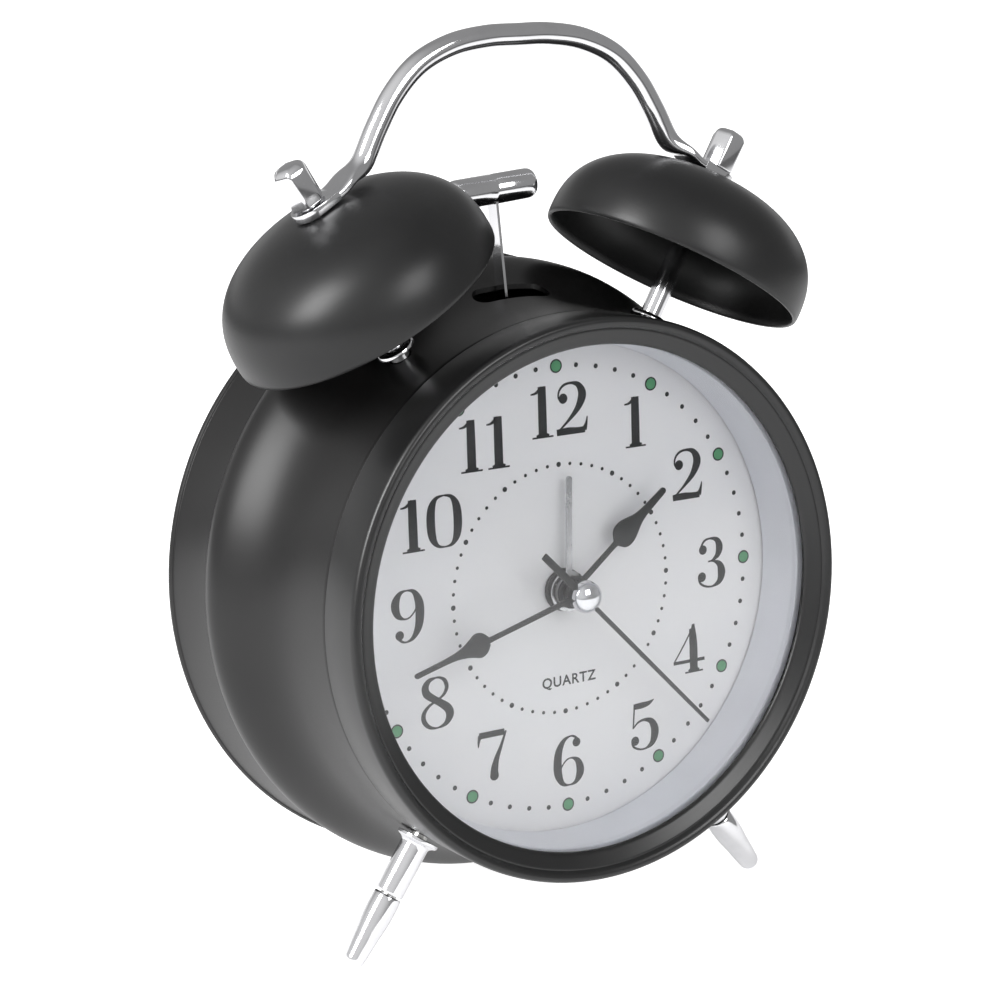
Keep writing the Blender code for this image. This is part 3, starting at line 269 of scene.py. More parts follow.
def finish(name, look):
    material = bpy.data.materials.new(name)
    material.use_nodes = True
    nodes = material.node_tree.nodes
    links = material.node_tree.links
    shader = nodes["Principled BSDF"]
    shader.inputs["Metallic"].default_value = look.get("metallic", 0)
    shader.inputs["IOR"].default_value = look.get("ior", 1.5)
    shader.inputs["Coat Weight"].default_value = look.get("coat", 0)
    shader.inputs["Coat Roughness"].default_value = 0.05
    shader.inputs["Transmission Weight"].default_value = look.get("transmission", 0)
    surface = nodes.new("ShaderNodeGroup")
    surface.node_tree = variation
    surface.inputs["Drift Scale"].default_value = look.get("driftScale", 60)
    surface.inputs["Grain Scale"].default_value = look.get("grainScale", 2500)
    mix = nodes.new("ShaderNodeMix")
    mix.data_type = "RGBA"
    mix.inputs["A"].default_value = (*look["colour"], 1)
    mix.inputs["B"].default_value = (*look.get("drifted", look["colour"]), 1)
    driftRange = rangeNode(nodes, 0.35, 0.65)
    speckMix = nodes.new("ShaderNodeMix")
    speckMix.data_type = "RGBA"
    speckMix.inputs["B"].default_value = (*look.get("speckColour", look["colour"]), 1)
    speckAmount = mathNode(nodes, "MULTIPLY", look.get("specks", 0))
    rough = rangeNode(nodes, 0.3, 0.7, *look["rough"])
    roughMix = mathNode(nodes, "ADD")
    half = mathNode(nodes, "MULTIPLY", 0.5)
    bump = nodes.new("ShaderNodeBump")
    bump.inputs["Strength"].default_value = look.get("bump", 0.1)
    bump.inputs["Distance"].default_value = look.get("bumpDepth", 0.00002)
    links.new(surface.outputs["Drift"], driftRange.inputs["Value"])
    links.new(driftRange.outputs["Result"], mix.inputs["Factor"])
    links.new(mix.outputs["Result"], speckMix.inputs["A"])
    links.new(surface.outputs["Specks"], speckAmount.inputs[0])
    links.new(speckAmount.outputs["Value"], speckMix.inputs["Factor"])
    links.new(speckMix.outputs["Result"], shader.inputs["Base Color"])
    links.new(surface.outputs["Drift"], roughMix.inputs[0])
    links.new(surface.outputs["Grain"], roughMix.inputs[1])
    links.new(roughMix.outputs["Value"], half.inputs[0])
    links.new(half.outputs["Value"], rough.inputs["Value"])
    links.new(rough.outputs["Result"], shader.inputs["Roughness"])
    links.new(surface.outputs["Grain"], bump.inputs["Height"])
    links.new(bump.outputs["Normal"], shader.inputs["Normal"])
    laidOut = (surface, driftRange, mix, speckAmount, speckMix, roughMix, half, rough, bump)
    for i, node in enumerate(laidOut):
        node.location = (-2000 + i * 210, -200)
    return material


finishes = {
    "satinBlack": finish("satin black paint", {
        "colour": (0.0070, 0.0067, 0.0069), "drifted": (0.0090, 0.0086, 0.0087), "rough": (0.30, 0.38),
        "driftScale": 45, "grainScale": 3200, "bump": 0.10, "bumpDepth": 0.00003,
        "specks": 0.12, "speckColour": (0.07, 0.07, 0.07), "ior": 1.42}),
    "bellBlack": finish("bell black paint", {
        "colour": (0.0085, 0.0085, 0.0088), "drifted": (0.0110, 0.0110, 0.0112), "rough": (0.31, 0.40),
        "driftScale": 70, "grainScale": 3600, "bump": 0.14, "bumpDepth": 0.00003,
        "specks": 0.16, "speckColour": (0.08, 0.08, 0.08), "ior": 1.42}),
    "bezelBlack": finish("bezel black plastic", {
        "colour": (0.0065, 0.0065, 0.0068), "drifted": (0.0085, 0.0085, 0.0087), "rough": (0.28, 0.36),
        "driftScale": 55, "grainScale": 4000, "bump": 0.12, "bumpDepth": 0.00002}),
    "chrome": finish("chrome plate", {
        "colour": (0.76, 0.76, 0.775), "drifted": (0.70, 0.70, 0.715), "rough": (0.05, 0.13), "metallic": 1,
        "driftScale": 180, "grainScale": 1400, "bump": 0.06, "bumpDepth": 0.00002,
        "specks": 0.25, "speckColour": (0.45, 0.44, 0.43)}),
    "zincSteel": finish("zinc plated steel", {
        "colour": (0.55, 0.55, 0.54), "drifted": (0.48, 0.48, 0.46), "rough": (0.25, 0.42), "metallic": 1,
        "driftScale": 260, "grainScale": 2600, "bump": 0.2}),
    "brass": finish("turned brass", {
        "colour": (0.70, 0.50, 0.22), "drifted": (0.62, 0.43, 0.18), "rough": (0.22, 0.38), "metallic": 1,
        "driftScale": 300, "grainScale": 2600, "bump": 0.15}),
    "blackPlastic": finish("moulded black plastic", {
        "colour": (0.018, 0.018, 0.019), "drifted": (0.024, 0.024, 0.025), "rough": (0.42, 0.58),
        "driftScale": 120, "grainScale": 2200, "bump": 0.35, "bumpDepth": 0.00004}),
    "whitePlastic": finish("moulded white plastic", {
        "colour": (0.72, 0.71, 0.68), "drifted": (0.66, 0.65, 0.62), "rough": (0.4, 0.55),
        "driftScale": 90, "grainScale": 1800, "bump": 0.2}),
    "dialWhite": finish("dial white paint", {
        "colour": (0.90, 0.895, 0.90), "drifted": (0.875, 0.87, 0.88), "rough": (0.42, 0.52),
        "driftScale": 28, "grainScale": 2600, "bump": 0.05, "specks": 0.05,
        "speckColour": (0.5, 0.5, 0.52)}),
    "wallLavender": finish("wall ring plastic", {
        "colour": (0.80, 0.81, 0.86), "drifted": (0.84, 0.85, 0.90), "rough": (0.30, 0.42),
        "driftScale": 90, "grainScale": 900, "bump": 0.08}),
    "printBlack": finish("dial printing ink", {
        "colour": (0.011, 0.011, 0.012), "drifted": (0.016, 0.016, 0.017), "rough": (0.45, 0.6),
        "driftScale": 200, "grainScale": 4000, "bump": 0.1}),
    "dotGreen": finish("green luminous paint", {
        "colour": (0.075, 0.30, 0.13), "drifted": (0.10, 0.36, 0.17), "rough": (0.5, 0.65),
        "driftScale": 300, "grainScale": 2800, "bump": 0.3}),
    "handBlack": finish("painted hand black", {
        "colour": (0.013, 0.013, 0.014), "drifted": (0.018, 0.018, 0.019), "rough": (0.36, 0.5),
        "driftScale": 150, "grainScale": 3000, "bump": 0.1}),
    "handSilver": finish("bright aluminium hand", {
        "colour": (0.62, 0.62, 0.63), "drifted": (0.52, 0.52, 0.53), "rough": (0.18, 0.32), "metallic": 1,
        "driftScale": 300, "grainScale": 2400, "bump": 0.1}),
    "boardGreen": finish("circuit board", {
        "colour": (0.03, 0.16, 0.07), "drifted": (0.04, 0.20, 0.09), "rough": (0.3, 0.45),
        "driftScale": 300, "grainScale": 1500, "bump": 0.2}),
    "copperWire": finish("enamelled copper", {
        "colour": (0.60, 0.24, 0.10), "drifted": (0.52, 0.20, 0.08), "rough": (0.25, 0.4), "metallic": 1,
        "driftScale": 300, "grainScale": 5000, "bump": 0.5}),
    "cellSleeve": finish("cell sleeve", {
        "colour": (0.06, 0.10, 0.22), "drifted": (0.08, 0.13, 0.27), "rough": (0.22, 0.35),
        "driftScale": 120, "grainScale": 2000, "bump": 0.05, "coat": 0.4}),
    "crystalClear": finish("clear crystal", {
        "colour": (0.97, 0.975, 0.98), "drifted": (0.95, 0.96, 0.97), "rough": (0.0, 0.03),
        "driftScale": 40, "grainScale": 1200, "bump": 0.01, "ior": 1.45, "transmission": 1}),
}


def dress(piece, key):
    piece.data.materials.clear()
    piece.data.materials.append(finishes[key])


def place(piece, body, key, *nodes, slot=None):
    dress(piece, key)
    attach(piece, body)
    if nodes:
        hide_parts(*nodes)


print("finishes ready")

# case shell

case = {"waist": 49.9, "crest": 57.1, "front": -4.7, "crestDepth": 25.0, "swell": 2.2, "sheet": 0.9,
        "rim": 57.4, "rimDepth": 40.45, "slot": (15.6, 4.5), "slotDepth": 13.5}


def caseRadius(depth):
    share = min(max((depth - case["front"]) / (case["crestDepth"] - case["front"]), 0), 1)
    rise = (1 - math.cos(math.pi * share ** case["swell"])) / 2
    return case["waist"] + (case["crest"] - case["waist"]) * rise


def caseOutline():
    # front of the drum to the rolled rim, then back along the inside
    depths = [case["front"] + (case["crestDepth"] - case["front"]) * i / 36 for i in range(37)]
    outer = [(48.6, -11.0), (48.6, -4.95), (49.7, -4.85), (49.85, -4.8)]
    outer += [(caseRadius(d), d) for d in depths]
    outer += [(57.06, 25.6), (56.97, 26.1), (56.83, 26.6), (56.64, 27.0), (56.42, 27.32), (56.2, 27.54),
              (55.95, 27.7), (55.6, 27.82), (55.2, 27.9), (55.05, 28.0), (55.02, 28.25),
              (56.86, 39.35), (56.9, 39.55), (56.96, 39.64), (57.1, 39.7)]
    outer += [(case["rim"] - 0.55 + 0.55 * math.cos(math.radians(a)),
               case["rimDepth"] + 0.75 * math.sin(math.radians(a))) for a in (-60, -35, 0, 35, 60, 90)]
    inner = [(56.4, 41.15), (56.05, 40.85), (56.0, 40.4), (56.0, 39.6), (54.15, 28.6)]
    inner += [(54.1 + 2.1 * math.cos(math.radians(a)), 25.0 + 3.0 * math.sin(math.radians(a)))
              for a in range(72, 0, -18)]
    inner += [(caseRadius(d) - case["sheet"], d) for d in reversed(depths[::3])]
    inner += [(47.7, -4.4), (47.7, -11.0)]
    return outer + inner


def drill(piece, radius, low, high, steps, degrees, depth):
    # a round hole along a spoke of the case
    hole = spinShape("drill", rising([(0, high), (radius, high), (radius, low), (0, low)]), steps, False)
    settle(hole, spoke(degrees, depth * mm))
    bite(piece, hole)


def caseShell():
    shell = spinShape("case_shell", facing(caseOutline()), 160)
    settle(shell, faceOn)
    wide, tall = case["slot"]
    half = (wide - tall) / 2
    track = [(half * mm + x, y) for x, y in arc(0, 0, tall / 2 * mm, -90, 90, 12)]
    track += [(-half * mm + x, y) for x, y in arc(0, 0, tall / 2 * mm, 90, 270, 12)]
    opening = flatShape("slot_cut", [track], 14 * mm)
    settle(opening, Matrix.Translation((0, case["slotDepth"] * mm, caseRadius(case["slotDepth"]) * mm)))
    bite(shell, opening)
    for sign in (-1, 1):
        drill(shell, 2.2, 40, 60, 32, sign * fittings["postAngle"], fittings["postDepth"])
    for sign in (1, -1):
        drill(shell, 1.8, 40, 60, 24, 180 + sign * fittings["footAngle"], fittings["footDepth"])
    smooth(shell, 40)
    place(shell, "clock_case", "satinBlack", "case_body")


caseShell()
print("case shell made")


def bezelRing():
    outline = [(44.9, -12.1), (44.9, -12.5), (45.05, -12.75), (45.35, -12.98), (45.8, -13.2), (46.6, -13.62),
               (47.3, -14.0), (47.6, -14.12), (47.8, -14.08), (47.92, -14.2), (48.1, -14.5), (48.35, -14.75),
               (48.75, -14.92), (49.15, -14.98), (49.5, -14.88), (49.78, -14.6), (49.93, -14.2), (50.0, -13.7),
               (50.0, -5.2), (49.97, -5.02), (49.88, -4.94), (49.6, -4.92), (48.9, -4.98), (48.9, -11.3),
               (47.5, -11.3), (47.5, -12.0), (44.95, -12.0)]
    piece = spinShape("bezel_ring", facing(outline), 160)
    settle(piece, faceOn)
    smooth(piece, 38)
    place(piece, "clock_case", "bezelBlack", "front_bezel")


def crystalDisc():
    outline = [(0, -11.7), (46.95, -11.7), (47.2, -11.45), (47.2, -10.3), (47.0, -10.1), (0, -10.1)]
    piece = spinShape("crystal_disc", facing(outline), 128, False)
    settle(piece, faceOn)
    smooth(piece, 30)
    place(piece, "clock_case", "crystalClear", "crystal")


def wallRing():
    outline = [(44.8, -9.8), (46.2, -9.8), (46.2, -4.0), (48.4, -4.0), (48.4, -0.3), (44.2, -0.3)]
    outline += [(44.2 + 0.6 * i / 8, -0.3 - 9.5 * i / 8) for i in range(1, 8)]
    piece = spinShape("wall_ring", facing(outline), 128)
    settle(piece, faceOn)
    soften(piece, 0.12 * mm, 1, 40)
    smooth(piece, 32)
    place(piece, "clock_case", "wallLavender", "dial_wall_ring")


def dialDisc():
    outline = [(3.6, 0.0), (46.6, 0.0), (46.8, 0.15), (46.8, 0.5), (3.6, 0.5)]
    piece = spinShape("dial_disc", facing(outline), 128)
    settle(piece, faceOn)
    smooth(piece, 30)
    place(piece, "clock_case", "dialWhite", "dial_plate")


bezelRing()
crystalDisc()
wallRing()
dialDisc()
print("bezel, crystal, wall and dial made")

# printing on the dial

printing = {"raise": 0.03, "numeralHeight": 9.3, "outerTrack": 40.0, "innerTrack": 22.5,
            "outerDot": 0.44, "innerDot": 0.32, "innerFive": 0.47, "greenDot": 0.98, "greenRim": 1.25}

# each numeral is a set of pen strokes (across, up, half width) and round ends (across, up, radius),
# all as shares of its height
numerals = {
    "0": {"wide": 0.74, "strokes": [[(0, 0.985, 0.016), (0.16, 0.945, 0.038), (0.262, 0.78, 0.080),
          (0.29, 0.5, 0.092), (0.262, 0.22, 0.080), (0.16, 0.055, 0.038), (0, 0.015, 0.016),
          (-0.16, 0.055, 0.038), (-0.262, 0.22, 0.080), (-0.29, 0.5, 0.092), (-0.262, 0.78, 0.080),
          (-0.16, 0.945, 0.038), (0, 0.985, 0.016)]], "ends": []},
    "1": {"wide": 0.50, "strokes": [[(0.0, 0.985, 0.088), (0.0, 0.5, 0.094), (0.0, 0.015, 0.094)],
          [(-0.25, 0.852, 0.014), (-0.14, 0.868, 0.026), (0.0, 0.958, 0.045)],
          [(-0.235, 0.017, 0.017), (0.235, 0.017, 0.017)],
          [(-0.14, 0.036, 0.03), (0.0, 0.06, 0.05), (0.14, 0.036, 0.03)]], "ends": []},
    "2": {"wide": 0.72, "strokes": [[(-0.19, 0.655, 0.05), (-0.29, 0.72, 0.02), (-0.275, 0.85, 0.022),
          (-0.17, 0.955, 0.026), (0.0, 0.982, 0.026), (0.15, 0.935, 0.055), (0.235, 0.80, 0.086),
          (0.225, 0.66, 0.088), (0.12, 0.47, 0.060), (-0.08, 0.27, 0.030), (-0.25, 0.13, 0.020),
          (-0.33, 0.045, 0.018)],
          [(-0.35, 0.062, 0.062), (-0.1, 0.070, 0.070), (0.12, 0.060, 0.060), (0.29, 0.062, 0.062)],
          [(0.27, 0.06, 0.060), (0.32, 0.18, 0.030), (0.345, 0.31, 0.012)]],
          "ends": [(-0.19, 0.70, 0.098)]},
    "3": {"wide": 0.70, "strokes": [[(-0.24, 0.83, 0.022), (-0.15, 0.955, 0.024), (0.0, 0.985, 0.022),
          (0.15, 0.935, 0.055), (0.21, 0.79, 0.084), (0.16, 0.63, 0.060), (0.02, 0.535, 0.018),
          (-0.07, 0.525, 0.016)],
          [(-0.04, 0.530, 0.016), (0.08, 0.515, 0.026), (0.21, 0.43, 0.066), (0.255, 0.27, 0.092),
           (0.20, 0.10, 0.062), (0.04, 0.016, 0.022), (-0.13, 0.03, 0.022), (-0.255, 0.10, 0.024),
           (-0.30, 0.19, 0.022)]],
          "ends": [(-0.19, 0.775, 0.094), (-0.225, 0.23, 0.098)]},
    "4": {"wide": 0.78, "strokes": [[(0.11, 0.985, 0.03), (0.11, 0.60, 0.092), (0.11, 0.015, 0.092)],
          [(0.14, 0.985, 0.014), (-0.10, 0.62, 0.017), (-0.36, 0.265, 0.016)],
          [(-0.375, 0.245, 0.034), (0.375, 0.245, 0.034)],
          [(-0.10, 0.017, 0.017), (0.33, 0.017, 0.017)],
          [(-0.02, 0.036, 0.03), (0.11, 0.06, 0.05), (0.24, 0.036, 0.03)],
          [(0.06, 0.90, 0.05), (0.10, 0.60, 0.09)]], "ends": []},
    "5": {"wide": 0.70, "strokes": [[(-0.215, 0.925, 0.020), (-0.235, 0.70, 0.018), (-0.255, 0.46, 0.016)],
          [(-0.235, 0.90, 0.055), (-0.05, 0.905, 0.062), (0.12, 0.925, 0.045), (0.25, 0.985, 0.008)],
          [(-0.25, 0.475, 0.016), (-0.14, 0.57, 0.020), (0.0, 0.605, 0.028), (0.16, 0.56, 0.058),
           (0.245, 0.43, 0.086), (0.255, 0.28, 0.090), (0.19, 0.11, 0.062), (0.04, 0.02, 0.022),
           (-0.12, 0.022, 0.020), (-0.25, 0.09, 0.022), (-0.29, 0.17, 0.02)]],
          "ends": [(-0.215, 0.205, 0.094)]},
    "6": {"wide": 0.72, "strokes": [[(0.235, 0.87, 0.03), (0.14, 0.965, 0.024), (0.03, 0.985, 0.018),
          (-0.11, 0.915, 0.046), (-0.225, 0.72, 0.080), (-0.262, 0.46, 0.094), (-0.245, 0.24, 0.086),
          (-0.15, 0.06, 0.046), (0.0, 0.015, 0.016), (0.14, 0.05, 0.042), (0.235, 0.18, 0.080),
          (0.255, 0.32, 0.086), (0.20, 0.47, 0.060), (0.08, 0.545, 0.020), (-0.04, 0.53, 0.016),
          (-0.15, 0.43, 0.016), (-0.21, 0.32, 0.016)]],
          "ends": [(0.185, 0.845, 0.090)]},
    "7": {"wide": 0.64, "strokes": [[(-0.28, 0.925, 0.062), (0.0, 0.925, 0.062), (0.28, 0.925, 0.062)],
          [(-0.262, 0.93, 0.045), (-0.295, 0.80, 0.026), (-0.305, 0.70, 0.010)],
          [(0.315, 0.94, 0.022), (0.20, 0.66, 0.034), (0.09, 0.42, 0.058), (0.035, 0.22, 0.082),
           (0.03, 0.10, 0.086)]],
          "ends": [(0.03, 0.098, 0.098)]},
    "8": {"wide": 0.76, "strokes": [[(0.0, 0.985, 0.018), (-0.14, 0.945, 0.046), (-0.225, 0.83, 0.074),
          (-0.20, 0.70, 0.078), (-0.06, 0.585, 0.072), (0.10, 0.48, 0.074), (0.245, 0.36, 0.086),
          (0.285, 0.23, 0.084), (0.20, 0.08, 0.050), (0.02, 0.015, 0.018), (-0.16, 0.05, 0.036),
          (-0.275, 0.18, 0.050), (-0.275, 0.33, 0.044), (-0.16, 0.46, 0.030), (0.02, 0.545, 0.020),
          (0.17, 0.64, 0.030), (0.235, 0.77, 0.042), (0.20, 0.90, 0.040), (0.10, 0.972, 0.024),
          (0.0, 0.985, 0.018)]], "ends": []},
}
six = numerals["6"]
numerals["9"] = {"wide": six["wide"],
                 "strokes": [[(-x, 1 - y, w) for x, y, w in stroke] for stroke in six["strokes"]],
                 "ends": [(-x, 1 - y, r) for x, y, r in six["ends"]]}

hours = {"12": (0.5, 32.2), "1": (16.5, 28.2), "2": (27.6, 17.2), "3": (32.6, 0.0), "4": (27.3, -15.5),
         "5": (16.9, -28.2), "6": (0.4, -31.9), "7": (-15.6, -27.9), "8": (-26.6, -16.3), "9": (-31.6, 0.0),
         "10": (-26.2, 15.6), "11": (-15.0, 28.0)}


def flowing(points, parts):
    # an even curve through the points
    ends = [points[0]] + points + [points[-1]]
    result = []
    for a, b, c, d in zip(ends, ends[1:], ends[2:], ends[3:]):
        for i in range(parts):
            t = i / parts
            result.append(tuple(0.5 * (2 * q + (r - p) * t + (2 * p - 5 * q + 4 * r - s) * t * t
                                       + (3 * q - p - 3 * r + s) * t ** 3) for p, q, r, s in zip(a, b, c, d)))
    result.append(points[-1])
    return result


def strokeOutline(stroke):
    line = flowing(stroke, 6) if len(stroke) > 3 else flowing(stroke, 3)
    left = []
    right = []
    for i, (x, y, w) in enumerate(line):
        before = line[max(i - 1, 0)]
        after = line[min(i + 1, len(line) - 1)]
        dx, dy = after[0] - before[0], after[1] - before[1]
        size = math.hypot(dx, dy) or 1
        nx, ny = -dy / size, dx / size
        left.append((x + nx * w, y + ny * w))
        right.append((x - nx * w, y - ny * w))
    return left, right


def ribbon(bm, left, right, lift):
    ups = [bm.verts.new((x, y, lift)) for x, y in left]
    downs = [bm.verts.new((x, y, lift)) for x, y in right]
    for a, b, c, d in zip(ups, ups[1:], downs[1:], downs):
        bm.faces.new((a, b, c, d))


def printNumerals():
    bm = bmesh.new()
    tall = printing["numeralHeight"] * mm
    lift = printing["raise"] * mm
    for text, (across, up) in hours.items():
        wide = [numerals[c]["wide"] for c in text]
        gap = 0.09 if text == "11" else 0.05
        cursor = -(sum(wide) + gap * (len(text) - 1)) / 2
        for character, width in zip(text, wide):
            centre = across * mm + (cursor + width / 2) * tall
            base = up * mm - tall / 2
            for stroke in numerals[character]["strokes"]:
                left, right = strokeOutline(stroke)
                ribbon(bm, [(centre + x * tall, base + y * tall) for x, y in left],
                       [(centre + x * tall, base + y * tall) for x, y in right], lift)
            for x, y, r in numerals[character]["ends"]:
                circle = ring(r * tall, 28, centre + x * tall, base + y * tall)
                bm.faces.new([bm.verts.new((a, b, lift)) for a, b in circle])
            cursor += width + gap
    piece = drawn("dial_numerals", bm)
    faceOut(piece)
    settle(piece, faceOn)
    place(piece, "clock_case", "printBlack", slot="hand_black")


def printDots():
    blacks = bmesh.new()
    greens = bmesh.new()
    lift = printing["raise"] * mm

    def spot(target, radius, angle, size, height):
        x = radius * math.sin(math.radians(angle))
        y = radius * math.cos(math.radians(angle))
        target.faces.new([target.verts.new((a * mm, b * mm, height)) for a, b in ring(size, 24, x, y)])

    for i in range(60):
        if i % 5 == 0:
            spot(blacks, printing["outerTrack"], 6 * i, printing["greenRim"], lift)
            spot(greens, printing["outerTrack"], 6 * i, printing["greenDot"], lift * 2)
            spot(blacks, printing["innerTrack"], 6 * i, printing["innerFive"], lift)
        else:
            spot(blacks, printing["outerTrack"], 6 * i, printing["outerDot"], lift)
            spot(blacks, printing["innerTrack"], 6 * i, printing["innerDot"], lift)
    for name, dots, key, slot in (("dial_dots", blacks, "printBlack", "hand_black"),
                                  ("dial_green_dots", greens, "dotGreen", "board_green")):
        piece = drawn(name, dots)
        settle(piece, faceOn)
        place(piece, "clock_case", key, slot=slot)


def printWord():
    # a plain word for the kind of movement
    letGo()
    bpy.ops.object.text_add(location=(0, 0, 0))
    piece = bpy.context.object
    piece.name = "dial_word"
    piece.data.body = "QUARTZ"
    piece.data.size = 2.62 * mm
    piece.data.space_character = 1.12
    piece.data.offset = 0.05 * mm
    piece.data.align_x = "CENTER"
    piece.data.align_y = "CENTER"
    bpy.ops.object.convert(target="MESH")
    piece = bpy.context.object
    settle(piece, faceOn @ Matrix.Translation((0.9 * mm, -16.9 * mm, printing["raise"] * mm)))
    place(piece, "clock_case", "printBlack", slot="hand_black")


printNumerals()
printDots()
printWord()
print("dial printed")

# hands

handShapes = {
    "hour_hand_blade": {"angle": 51.8, "depth": -3.3, "hub": 2.95, "hole": 2.1, "key": "handBlack",
                        "body": "hour_hand_train", "node": "hour_hand",
                        "edge": [(2.0, 0.52), (7.0, 0.50), (11.6, 0.50), (12.2, 0.85), (12.9, 1.85), (13.7, 2.32),
                                 (14.6, 2.42), (15.6, 2.26), (16.8, 1.78), (18.4, 1.12), (20.2, 0.80), (22.5, 0.69),
                                 (25.3, 0.58)]},
    "minute_hand_blade": {"angle": 254.8, "depth": -5.9, "hub": 2.5, "hole": 1.35, "key": "handBlack",
                          "body": "minute_hand_train", "node": "minute_hand",
                          "edge": [(2.0, 0.50), (10.0, 0.47), (19.0, 0.45), (19.7, 0.80), (20.5, 1.75), (21.4, 2.18),
                                   (22.3, 2.15), (23.4, 1.60), (25.2, 0.92), (27.5, 0.55), (31.3, 0.46),
                                   (34.7, 0.44)]},
    "alarm_hand_blade": {"angle": 1.9, "depth": -2.2, "hub": 3.65, "hole": 2.8, "key": "handSilver",
                         "body": "alarm_hand_train", "node": "alarm_hand",
                         "edge": [(3.0, 0.56), (12.0, 0.56), (20.1, 0.56)]},
}


def handBlade(name, shape):
    side = [(w * mm, l * mm) for l, w in flowing(shape["edge"], 3)]
    tipWide, tipEnd = side[-1]
    side += [(tipWide * math.cos(math.radians(a)), tipEnd + tipWide * math.sin(math.radians(a)))
             for a in (18, 36, 54, 72)]
    hub = shape["hub"] * mm
    start = math.degrees(math.asin(shape["edge"][0][1] / shape["hub"]))
    boss = [(hub * math.sin(math.radians(a)), hub * math.cos(math.radians(a)))
            for a in [180 - (180 - start) * i / 24 for i in range(1, 25)]]
    half = boss + [p for p in side if p[1] > hub]
    outline = [(0, -hub)] + half + [(0, tipEnd + tipWide)] + [(-x, y) for x, y in reversed(half)]
    blade = flatShape(name, [outline, ring(shape["hole"] * mm, 40)], 0.4 * mm)
    soften(blade, 0.09 * mm, 2, 40)
    settle(blade, spoke(shape["angle"], shape["depth"] * mm) @ faceOn)
    smooth(blade, 35)
    place(blade, shape["body"], shape["key"], shape["node"])


for name, shape in handShapes.items():
    handBlade(name, shape)


def secondHand():
    turn = spoke(136.2, -6.9 * mm) @ faceOn
    outline = [(-0.62, -11.5), (0.62, -11.5), (0.72, -3.0), (0.66, -1.9)]
    outline += [(2.0 * math.sin(math.radians(a)), -2.0 * math.cos(math.radians(a)))
                for a in range(22, 170, 12)]
    outline += [(0.42, 1.96), (0.34, 38.2), (-0.34, 38.2), (-0.42, 1.96)]
    outline += [(-2.0 * math.sin(math.radians(a)), -2.0 * math.cos(math.radians(a)))
                for a in range(166, 20, -12)]
    outline += [(-0.66, -1.9), (-0.72, -3.0)]
    blade = flatShape("second_hand_blade", [rising(outline), ring(0.6 * mm, 24)], 0.36 * mm)
    soften(blade, 0.07 * mm, 2, 40)
    settle(blade, turn)
    smooth(blade, 35)
    place(blade, "second_hand_train", "handBlack", "second_hand")
    dome = [(2.9 * math.sin(math.radians(a)), 7.9 + 2.0 * math.cos(math.radians(a))) for a in range(0, 91, 6)]
    dome += [(2.9, 7.6), (2.75, 7.4), (0.6, 7.4), (0.6, 8.7), (0, 8.7)]
    cap = spinShape("hand_cap_dome", rising(dome), 64, False)
    settle(cap, faceOn)
    smooth(cap, 40)
    place(cap, "second_hand_train", "chrome", "hand_cap")


secondHand()
print("hands made")

# bells, posts and nuts

bell = {"mouth": 61.9, "height": 18.4, "radius": 24.8, "rise": 1.7, "power": 2.4, "wall": 0.8}
nut = {"radius": 3.3, "height": 7.6, "middle": 86.2, "dome": 1.7, "wall": 1.1, "bore": 4.9, "corner": 0.38}
washer = {"base": 51.75}


def bellWidth(radius, share):
    # share is 0 at the widest and 1 at the crown
    return radius * (1 - share ** bell["power"]) ** (1 / bell["power"])


def bellShell(side, degrees):
    crown = bell["height"] - bell["rise"]
    outer = []
    for i in range(33):
        share = math.cos(math.pi / 2 * i / 32)
        width = bellWidth(bell["radius"], share)
        if width > 3.4:
            outer.append((width, bell["rise"] + crown * share))
    outer = [(1.8, bell["height"])] + outer
    outer += [(24.76, 0.8), (24.66, 0.25), (24.45, 0.0), (24.1, 0.05), (23.95, 0.3)]
    inner = []
    for i in range(25):
        share = math.sin(math.pi / 2 * i / 24)
        width = bellWidth(bell["radius"] - bell["wall"], share)
        if width > 3.0:
            inner.append((width, bell["rise"] + (crown - bell["wall"]) * share))
    inner.append((1.8, bell["height"] - bell["wall"]))
    outline = [(r, h + bell["mouth"]) for r, h in outer + inner]
    piece = spinShape("bell_shell_" + side, rising(outline), 128)
    settle(piece, spoke(degrees, fittings["postDepth"] * mm))
    smooth(piece, 40)
    place(piece, "clock_case", "bellBlack", "bell_" + side)


def postRod(side, turn):
    outline = [(0, 86.6), (1.3, 86.6), (1.5, 86.4), (1.5, 79.3), (1.7, 79.2), (1.95, 78.9), (1.95, 47.0),
               (1.8, 46.8), (0, 46.8)]
    post = spinShape("post_rod_" + side, rising(outline), 48, False)
    settle(post, turn)
    smooth(post, 35)
    place(post, "clock_case", "chrome", "bell_post_" + side)


def postWasher(side, turn):
    outline = [(2.05, 1.0), (2.9, 1.0), (3.35, 0.85), (3.6, 0.5), (3.6, 0.1), (3.5, 0), (2.05, 0)]
    collar = spinShape("post_washer_" + side, rising([(r, h + washer["base"]) for r, h in outline]), 48)
    settle(collar, turn)
    smooth(collar, 40)
    place(collar, "clock_case", "chrome", "post_collar_" + side)


def chooseFaces(piece, test):
    bpy.ops.mesh.select_mode(type="FACE")
    bpy.ops.mesh.select_all(action="DESELECT")
    bpy.ops.object.mode_set(mode="OBJECT")
    for face in piece.data.polygons:
        face.select = test(face.normal.z)
    bpy.ops.object.mode_set(mode="EDIT")


